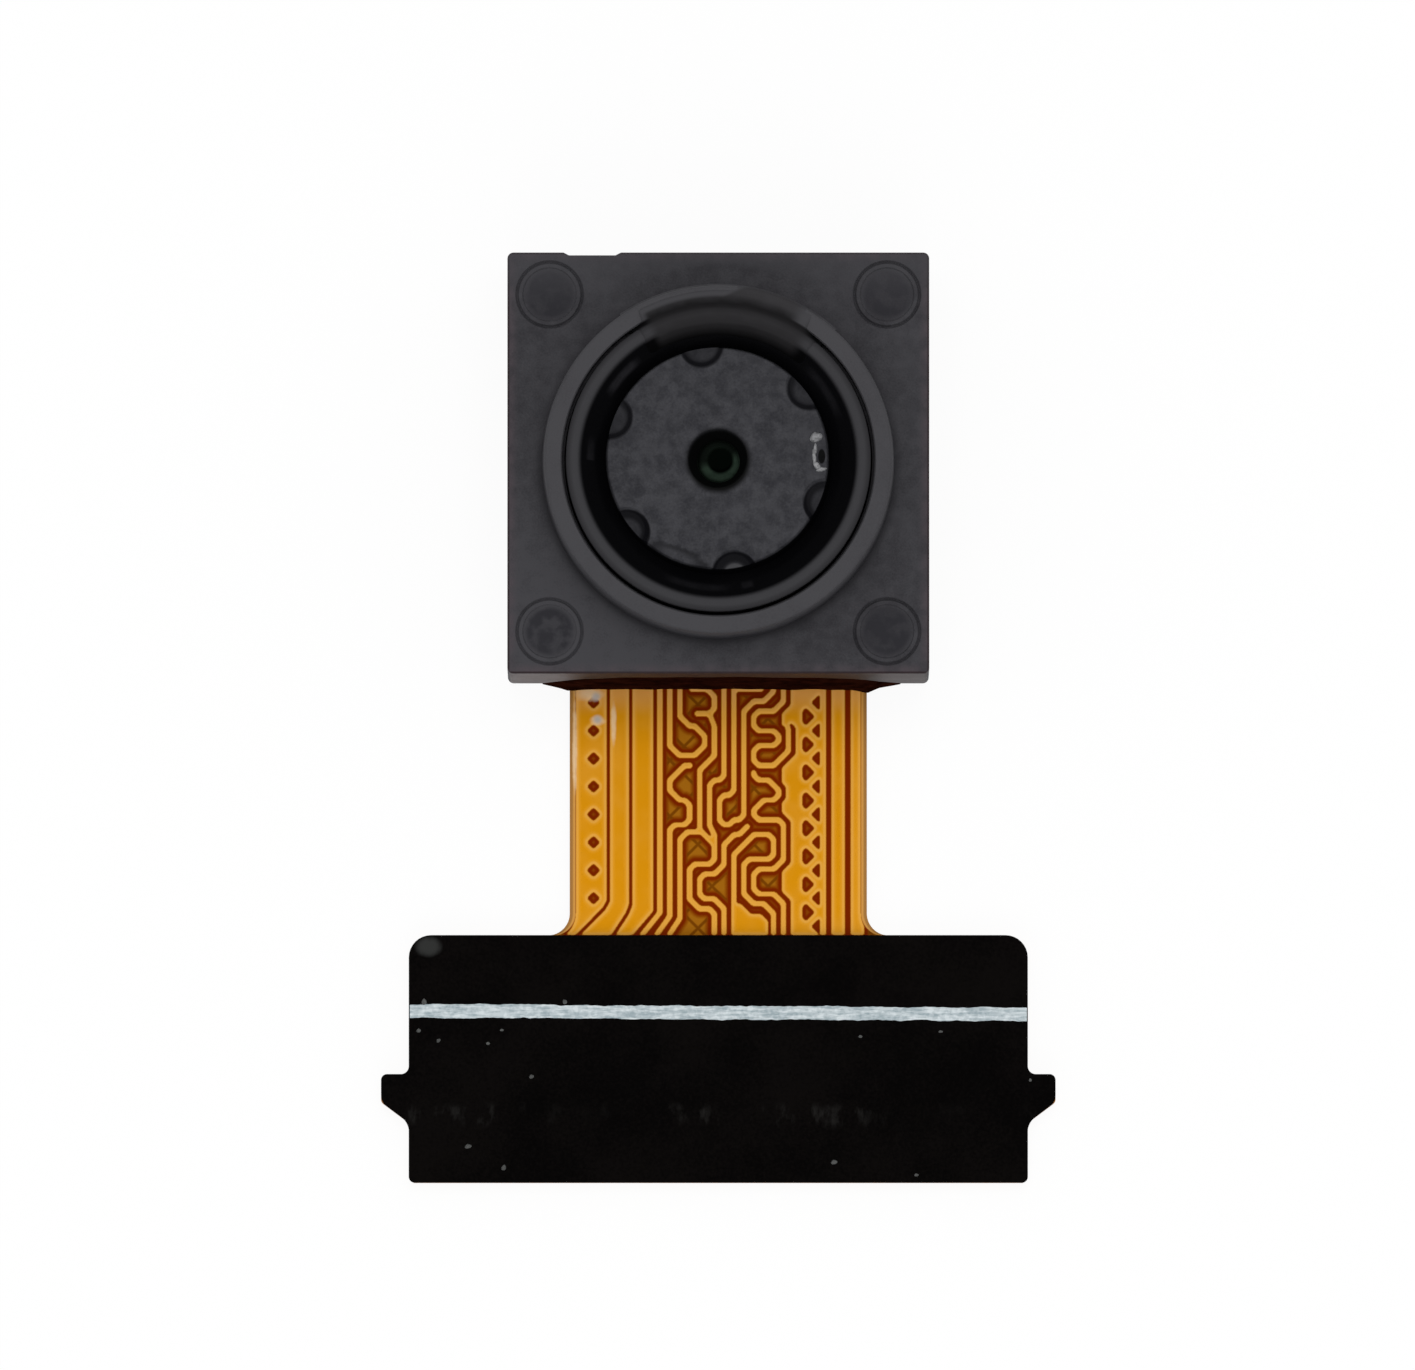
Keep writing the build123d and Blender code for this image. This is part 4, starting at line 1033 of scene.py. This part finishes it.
def makeTailLine(size):
    middle = size["lineMiddle"]
    where = (0, middle, size["lineHeight"])
    bpy.ops.mesh.primitive_grid_add(x_subdivisions=620, y_subdivisions=6, size=1, location=where)
    line = bpy.context.object
    line.scale = (2 * size["halfWidth"] - 0.04, size["lineWidth"], 1)
    bpy.ops.object.transform_apply(location=True, rotation=True, scale=True)
    for vertex in line.data.vertices:
        # ragged edges, and the print sinks a little to the right
        x, y = vertex.co.x, vertex.co.y
        share = (y - middle) / (size["lineWidth"] / 2)
        rag = 0.022 * noise.noise(Vector((x * 2.6, share * 1.5, 4.0)))
        rag += 0.014 * noise.noise(Vector((x * 8.0, share, 9.0)))
        vertex.co.y = y + rag * abs(share) - 0.0055 * x
        vertex.co.z += 0.003 * noise.noise(Vector((x * 7.0, y * 22.0, 1.0))) - 0.006 * share ** 4
    closeSheet(line, (1, 1, 0), (0, 0, size["high"] - 0.002))
    return finishPiece(line, "tailLine", "alignment_line", smoothAngle=50)


tailLook = {
    "dark": (0.0020, 0.0017, 0.0017), "light": (0.0042, 0.0035, 0.0033), "rough": (0.38, 0.5), "shine": 0.0,
    "scuff": (0.0135, 0.0128, 0.0122), "scuffRow": -13.0,
    "dusty": (0.034, 0.035, 0.034), "dustPlace": (-5.86, -9.58), "dustSize": (0.27, 0.19),
}


def makeTailBlack(look):
    material, tree, shader, place = startMaterial("black tail plate")
    grain = grainOf(tree, place, 18.0, 0.6, 0.5)
    colour = blendColour(tree, spread(tree, grain["Tone"], 0.35, 0.65), look["dark"], look["light"])
    # faint row of scuffs where the connector's lid has pressed
    split = axesOf(tree, place)
    offRow = calc(tree, "ABSOLUTE", minus(tree, split["Y"], look["scuffRow"]))
    streak = useGroup(tree, streakGroup, {"Vector": place, "Stretch": (2.6, 1.1, 1.0), "Scale": 1.2})["Value"]
    patchy = noiseOf(tree, place, 0.55)
    scuff = times(tree, spread(tree, offRow, 0.32, 0.08), spread(tree, streak, 0.50, 0.72))
    scuff = times(tree, scuff, spread(tree, patchy, 0.35, 0.6))
    colour = blendColour(tree, scuff, colour, look["scuff"])
    # dull dusty corner
    awayX = ratio(tree, minus(tree, split["X"], look["dustPlace"][0]), look["dustSize"][0])
    awayY = ratio(tree, minus(tree, split["Y"], look["dustPlace"][1]), look["dustSize"][1])
    away = plus(tree, times(tree, awayX, awayX), times(tree, awayY, awayY))
    away = plus(tree, away, spread(tree, streak, 0.3, 0.7, -0.2, 0.2))
    colour = blendColour(tree, spread(tree, away, 1.5, 0.0, 0, 0.9), colour, look["dusty"])
    tree.links.new(colour, shader.inputs["Base Color"])
    roughen(tree, shader, grain["Tone"], *look["rough"])
    shader.inputs["Specular IOR Level"].default_value = look["shine"]
    setBump(tree, shader, grain["Height"], 0.12, 0.00002)
    return material


lineLook = {"white": (0.62, 0.68, 0.70), "grey": (0.26, 0.33, 0.36), "rough": (0.5, 0.7)}


def makeLineInk(look):
    material, tree, shader, place = startMaterial("white line ink")
    streak = useGroup(tree, streakGroup, {"Vector": place, "Stretch": (1.0, 7.0, 1.0), "Scale": 2.2})["Value"]
    fleck = noiseOf(tree, place, 9.0, detail=3.0)
    streaky = times(tree, spread(tree, streak, 0.38, 0.62), 0.65)
    mask = plus(tree, streaky, times(tree, spread(tree, fleck, 0.4, 0.6), 0.35))
    tree.links.new(blendColour(tree, mask, look["grey"], look["white"]), shader.inputs["Base Color"])
    roughen(tree, shader, fleck, *look["rough"])
    setBump(tree, shader, streak, 0.3, 0.00002)
    return material


tailPlate = makeTailPlate(tailSize)
dress(tailPlate, makeTailBlack(tailLook))
tailLine = makeTailLine(tailSize)
dress(tailLine, makeLineInk(lineLook))
print("tail done", len(tailPlate.data.polygons), len(tailLine.data.polygons))

# epoxy bead where the neck leaves the holder

beadSize = {
    "wall": -4.25, "low": 0.352, "left": -3.55, "right": 3.68,
    # along the wall: place, how far it reaches out, how high it climbs
    "along": [
        (-3.55, 0.00, 0.45), (-3.35, 0.05, 0.9), (-3.05, 0.14, 1.4), (-2.7, 0.11, 1.9), (-2.0, 0.105, 2.4),
        (0.0, 0.105, 2.5), (2.0, 0.11, 2.3), (2.7, 0.13, 1.9), (3.02, 0.18, 1.4), (3.25, 0.08, 0.9), (3.68, 0.00, 0.45),
    ],
}


def makeBead(size):
    where, upright = (0, size["wall"], 0), (math.pi / 2, 0, 0)
    bpy.ops.mesh.primitive_grid_add(x_subdivisions=190, y_subdivisions=36, size=1, location=where, rotation=upright)
    bead = bpy.context.object
    bpy.ops.object.transform_apply(location=True, rotation=True, scale=True)
    places, reaches, tops = zip(*size["along"])
    for vertex in bead.data.vertices:
        share = vertex.co.z + 0.5
        x = size["left"] + (vertex.co.x + 0.5) * (size["right"] - size["left"])
        reach = float(np.interp(x, places, reaches))
        top = float(np.interp(x, places, tops)) + 0.35 * noise.noise(Vector((x * 1.1, 0, 3)))
        lumps = 1 + 0.25 * noise.noise(Vector((x * 1.7, share * 2, 7)))
        thick = reach * (1 - share ** 0.7) * lumps + 0.012 * (1 - share ** 3)
        vertex.co = (x, size["wall"] - 0.003 - max(thick, 0), size["low"] + (max(top, 0.4) - size["low"]) * share)
    closeSheet(bead, (1, 0, 1), (0, size["wall"] + 0.02, 0))
    return finishPiece(bead, "neckEpoxy", "neck_epoxy", smoothAngle=60)


beadLook = {
    "dark": (0.0060, 0.0014, 0.0006), "light": (0.0240, 0.0060, 0.0030),
    "grain": 5.0, "cloud": 1.4, "rough": (0.4, 0.55), "relief": 0.3, "shine": 0.0,
}
neckEpoxy = makeBead(beadSize)
dress(neckEpoxy, plainFinish("black epoxy", beadLook))
print("epoxy done")

# dust and glue flecks

fleckPlaces = {
    # (x, y, height, length, width, turn) in millimetres and degrees
    "tail": [
        (-5.94, -10.70, 0.54, 0.10, 0.13, 0), (-3.10, -10.70, 0.54, 0.09, 0.10, 30),
        (-6.05, -11.28, 0.53, 0.09, 0.08, 0), (-5.65, -11.48, 0.53, 0.09, 0.07, 40),
        (-4.65, -11.54, 0.53, 0.08, 0.06, 0), (-4.37, -11.27, 0.53, 0.08, 0.05, 0),
        (-3.77, -12.21, 0.53, 0.10, 0.08, 20), (-5.05, -13.62, 0.53, 0.14, 0.09, 10),
        (-4.33, -14.05, 0.53, 0.09, 0.12, -20), (2.34, -13.94, 0.53, 0.13, 0.09, 10),
        (2.87, -11.40, 0.53, 0.08, 0.06, 0), (4.49, -11.30, 0.53, 0.09, 0.05, 0),
        (6.30, -12.28, 0.53, 0.06, 0.07, 0), (4.00, -14.20, 0.53, 0.09, 0.06, 0),
    ],
    "plate": [
        (1.97, 0.47, 4.585, 0.27, 0.20, 15), (1.955, 0.24, 4.58, 0.08, 0.22, 0), (1.93, 0.08, 4.58, 0.08, 0.30, 8),
        (1.98, -0.10, 4.58, 0.12, 0.20, 40), (2.08, -0.18, 4.58, 0.22, 0.09, 10),
    ],
}


def makeFlecks(name, places, rise):
    # one flake, flattened and made uneven, then copied to each place
    bpy.ops.mesh.primitive_ico_sphere_add(subdivisions=2, radius=0.5)
    flake = bpy.context.object
    for vertex in flake.data.vertices:
        vertex.co *= 1 + 0.45 * noise.noise(vertex.co * 2.3 + Vector((3, 1, 7)))
        vertex.co.z = max(vertex.co.z, -0.12) * rise
    made = []
    for x, y, height, length, width, turn in places:
        made.append(copyTo(flake, (x, y, height), turn, (length, width, min(length, width))))
    bpy.data.objects.remove(flake)
    return finishPiece(joinInto(*made), name, None, smoothAngle=60)


dustLook = {
    "dark": (0.026, 0.027, 0.026), "light": (0.085, 0.088, 0.085), "grain": 30.0, "cloud": 3.0, "rough": (0.7, 0.9),
}
glueFleckLook = {
    "dark": (0.08, 0.08, 0.085), "light": (0.26, 0.26, 0.27), "grain": 22.0, "cloud": 4.0, "rough": (0.35, 0.6),
}
tailDust = makeFlecks("tailDust", fleckPlaces["tail"], 0.3)
dress(tailDust, plainFinish("grey dust", dustLook))
plateFleck = makeFlecks("plateFleck", fleckPlaces["plate"], 0.5)
dress(plateFleck, plainFinish("pale glue fleck", glueFleckLook))
print("flecks done")

# finishes of the pieces that keep their CAD shape

nodeLooks = {
    "back_stiffener": {
        "name": "brushed steel plate", "dark": (0.36, 0.35, 0.34), "light": (0.52, 0.51, 0.50),
        "grain": 24.0, "cloud": 1.0, "rough": (0.28, 0.42), "metal": 1.0,
    },
    "back_ground_plane": {
        "name": "back copper", "dark": (0.62, 0.30, 0.16), "light": (0.80, 0.42, 0.25),
        "grain": 20.0, "cloud": 2.0, "rough": (0.25, 0.38), "metal": 1.0,
    },
    "contact_fingers": {
        "name": "gold fingers", "dark": (0.75, 0.48, 0.16), "light": (0.92, 0.62, 0.26),
        "grain": 20.0, "cloud": 1.5, "rough": (0.18, 0.30), "metal": 1.0,
    },
    "flex_base_film": {
        "name": "amber base film", "dark": (0.34, 0.12, 0.006), "light": (0.48, 0.19, 0.010),
        "grain": 8.0, "cloud": 1.0, "rough": (0.30, 0.42),
    },
    "front_traces": {
        "name": "front copper", "dark": (0.62, 0.30, 0.16), "light": (0.80, 0.42, 0.25),
        "grain": 20.0, "cloud": 2.0, "rough": (0.25, 0.38), "metal": 1.0,
    },
    "stiffener_adhesive": {
        "name": "adhesive sheet", "dark": (0.20, 0.09, 0.03), "light": (0.30, 0.15, 0.06),
        "grain": 10.0, "cloud": 2.0, "rough": (0.4, 0.55),
    },
    "solder_pads": {
        "name": "tinned copper pads", "dark": (0.62, 0.34, 0.20), "light": (0.78, 0.48, 0.32),
        "grain": 16.0, "cloud": 3.0, "rough": (0.28, 0.4), "metal": 1.0,
    },
    "solder_joints": {
        "name": "solder", "dark": (0.42, 0.42, 0.43), "light": (0.62, 0.62, 0.64),
        "grain": 14.0, "cloud": 4.0, "rough": (0.25, 0.45), "metal": 1.0,
    },
    "sensor_die": {
        "name": "silicon die", "dark": (0.045, 0.04, 0.06), "light": (0.10, 0.07, 0.10),
        "grain": 60.0, "cloud": 0.8, "rough": (0.10, 0.2), "coat": 0.4,
    },
    "sensor_dam": {
        "name": "dark dam", "dark": (0.008, 0.008, 0.008), "light": (0.016, 0.015, 0.014),
        "grain": 12.0, "cloud": 2.0, "rough": (0.4, 0.6),
    },
    "sensor_cover_glass": {
        "name": "clear cover glass", "dark": (0.88, 0.92, 0.90), "light": (0.95, 0.97, 0.96),
        "grain": 4.0, "cloud": 0.6, "rough": (0.01, 0.04), "clear": 1.0, "ior": 1.52, "relief": 0.02,
    },
    "capacitor_bodies": {
        "name": "brown ceramic", "dark": (0.16, 0.09, 0.045), "light": (0.24, 0.14, 0.07),
        "grain": 30.0, "cloud": 4.0, "rough": (0.45, 0.6),
    },
    "capacitor_terminals": {
        "name": "tin end caps", "dark": (0.52, 0.52, 0.52), "light": (0.70, 0.70, 0.70),
        "grain": 24.0, "cloud": 5.0, "rough": (0.3, 0.5), "metal": 1.0,
    },
    "holder_adhesive": {
        "name": "black seat glue", "dark": (0.006, 0.006, 0.006), "light": (0.013, 0.012, 0.012),
        "grain": 12.0, "cloud": 2.0, "rough": (0.35, 0.5),
    },
    "lens_spacer": {
        "name": "black spacer ring", "dark": (0.006, 0.006, 0.006), "light": (0.012, 0.012, 0.012),
        "grain": 20.0, "cloud": 2.0, "rough": (0.5, 0.7),
    },
    "rear_lens": {
        "name": "coated rear lens", "dark": (0.90, 0.94, 0.96), "light": (0.95, 0.97, 0.98),
        "grain": 3.0, "cloud": 0.6, "rough": (0.01, 0.04), "clear": 1.0, "ior": 1.54, "relief": 0.02,
    },
    "lens_retainer": {
        "name": "black retaining ring", "dark": (0.007, 0.007, 0.008), "light": (0.014, 0.014, 0.015),
        "grain": 20.0, "cloud": 2.0, "rough": (0.5, 0.7),
    },
    "infrared_filter": {
        "name": "blue filter glass", "dark": (0.45, 0.72, 0.78), "light": (0.60, 0.82, 0.86),
        "grain": 3.0, "cloud": 0.6, "rough": (0.01, 0.04), "clear": 1.0, "ior": 1.52, "relief": 0.02,
    },
    "filter_adhesive": {
        "name": "filter glue", "dark": (0.008, 0.008, 0.008), "light": (0.018, 0.017, 0.016),
        "grain": 12.0, "cloud": 3.0, "rough": (0.3, 0.45),
    },
}
backFilmLook = {
    "copper": (0.620, 0.245, 0.0060), "open": (0.320, 0.100, 0.0030), "margin": (0.420, 0.180, 0.0300),
    "neckLow": -9.2, "neckHigh": -4.5, "halfWidth": 2.85, "rough": (0.28, 0.40), "shine": 0.2,
}


def makeBackFilm(look):
    material, tree, shader, place = startMaterial("amber film over the hatched back")
    grain = grainOf(tree, place, 9.0, 0.8, 0.5)
    split = axesOf(tree, place)
    onLine = hatchLines(tree, place, hatch, 0.07, 0.04)
    aboveLow = spread(tree, split["Y"], look["neckLow"], look["neckLow"] + 0.05)
    inNeck = times(tree, aboveLow, spread(tree, split["Y"], look["neckHigh"], look["neckHigh"] - 0.05))
    colour = blendColour(tree, times(tree, inNeck, minus(tree, 1.0, onLine)), look["copper"], look["open"])
    atRim = spread(tree, calc(tree, "ABSOLUTE", split["X"]), look["halfWidth"], look["halfWidth"] + 0.04)
    colour = blendColour(tree, times(tree, inNeck, atRim), colour, look["margin"])
    colour = blendColour(tree, spread(tree, grain["Tone"], 0.35, 0.65, 0.0, 0.25), colour, look["open"])
    tree.links.new(colour, shader.inputs["Base Color"])
    roughen(tree, shader, grain["Tone"], *look["rough"])
    shader.inputs["Specular IOR Level"].default_value = look["shine"]
    setBump(tree, shader, grain["Height"], 0.12, 0.00002)
    return material


backFilm = makeBackFilm(backFilmLook)
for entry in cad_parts["back_coverlay"].material_slots:
    entry.material = backFilm
for node, look in nodeLooks.items():
    material = plainFinish(look["name"], look)
    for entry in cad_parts[node].material_slots:
        entry.material = material
print("node finishes done", len(nodeLooks) + 1)

# floor, lights and camera

studio = {
    "world": 0.62, "floor": 3.0, "floorShadow": 0.08, "floorTone": (0.96, 0.96, 0.96), "floorRough": 0.9,
    # name, azimuth and elevation it shines from, distance, width, level on a white surface that faces it
    "boxes": [("front box", -90, 48, 0.30, 0.20, 0.14), ("top box", 82, 79, 0.32, 0.16, 0.34)],
    "target": (-0.218, -4.281, 0.35), "tilt": 3.4, "distance": 1200.0, "frameWidth": 28.586, "sensor": 36,
}


def seenDirectly(tree):
    # one for the camera, mirrors and clear pieces, nought for light that falls on a surface
    rays = addNode(tree, "ShaderNodeLightPath").outputs
    through = highest(tree, rays["Is Glossy Ray"], rays["Is Transmission Ray"])
    return highest(tree, rays["Is Camera Ray"], through)


def makeStudio(values):
    world = bpy.data.worlds.new("studio world")
    bpy.context.scene.world = world
    world.use_nodes = True
    tree = world.node_tree
    shader = tree.nodes["Background"]
    seen = seenDirectly(tree)
    tree.links.new(spread(tree, seen, 0, 1, values["world"], 1.0, smooth=False), shader.inputs["Strength"])
    shader.inputs["Color"].default_value = (1, 1, 1, 1)

    bpy.ops.mesh.primitive_plane_add(size=values["floor"], location=(0, 0, 0))
    floor = bpy.context.object
    floor.name = "floor"
    material = bpy.data.materials.new("white floor")
    material.use_nodes = True
    tree = material.node_tree
    shader = tree.nodes["Principled BSDF"]
    shader.inputs["Base Color"].default_value = (*values["floorTone"], 1)
    shader.inputs["Roughness"].default_value = values["floorRough"]
    shader.inputs["Specular IOR Level"].default_value = 0.1
    glow = addNode(tree, "ShaderNodeEmission", {"Color": (1, 1, 1, 1), "Strength": 1.0})
    share = times(tree, seenDirectly(tree), 1 - values["floorShadow"])
    both = addNode(tree, "ShaderNodeMixShader", {0: share, 1: shader.outputs[0], 2: glow.outputs[0]})
    tree.links.new(both.outputs[0], tree.nodes["Material Output"].inputs["Surface"])
    dress(floor, material)

    middle = Vector(values["target"]) * mm
    for name, azimuth, elevation, distance, width, level in values["boxes"]:
        a, e = math.radians(azimuth), math.radians(elevation)
        way = Vector((math.cos(a) * math.cos(e), math.sin(a) * math.cos(e), math.sin(e)))
        bpy.ops.object.light_add(type="AREA", location=middle + way * distance)
        box = bpy.context.object
        box.name = name
        box.data.shape = "DISK"
        box.data.size = width
        box.data.energy = level * math.pi ** 2 * distance ** 2
        box.rotation_mode = "QUATERNION"
        box.rotation_quaternion = (-way).to_track_quat("-Z", "Y")

    tilt = math.radians(values["tilt"])
    way = Vector((0, -math.sin(tilt), math.cos(tilt)))
    bpy.ops.object.camera_add(location=middle + way * values["distance"] * mm)
    camera = bpy.context.object
    camera.rotation_mode = "QUATERNION"
    camera.rotation_quaternion = (-way).to_track_quat("-Z", "Y")
    camera.data.sensor_width = values["sensor"]
    camera.data.lens = values["sensor"] * values["distance"] / values["frameWidth"]
    camera.data.clip_start = 0.1
    camera.data.clip_end = 10
    bpy.context.scene.camera = camera
    bpy.context.scene.view_settings.view_transform = "Standard"


makeStudio(studio)
print("studio done")
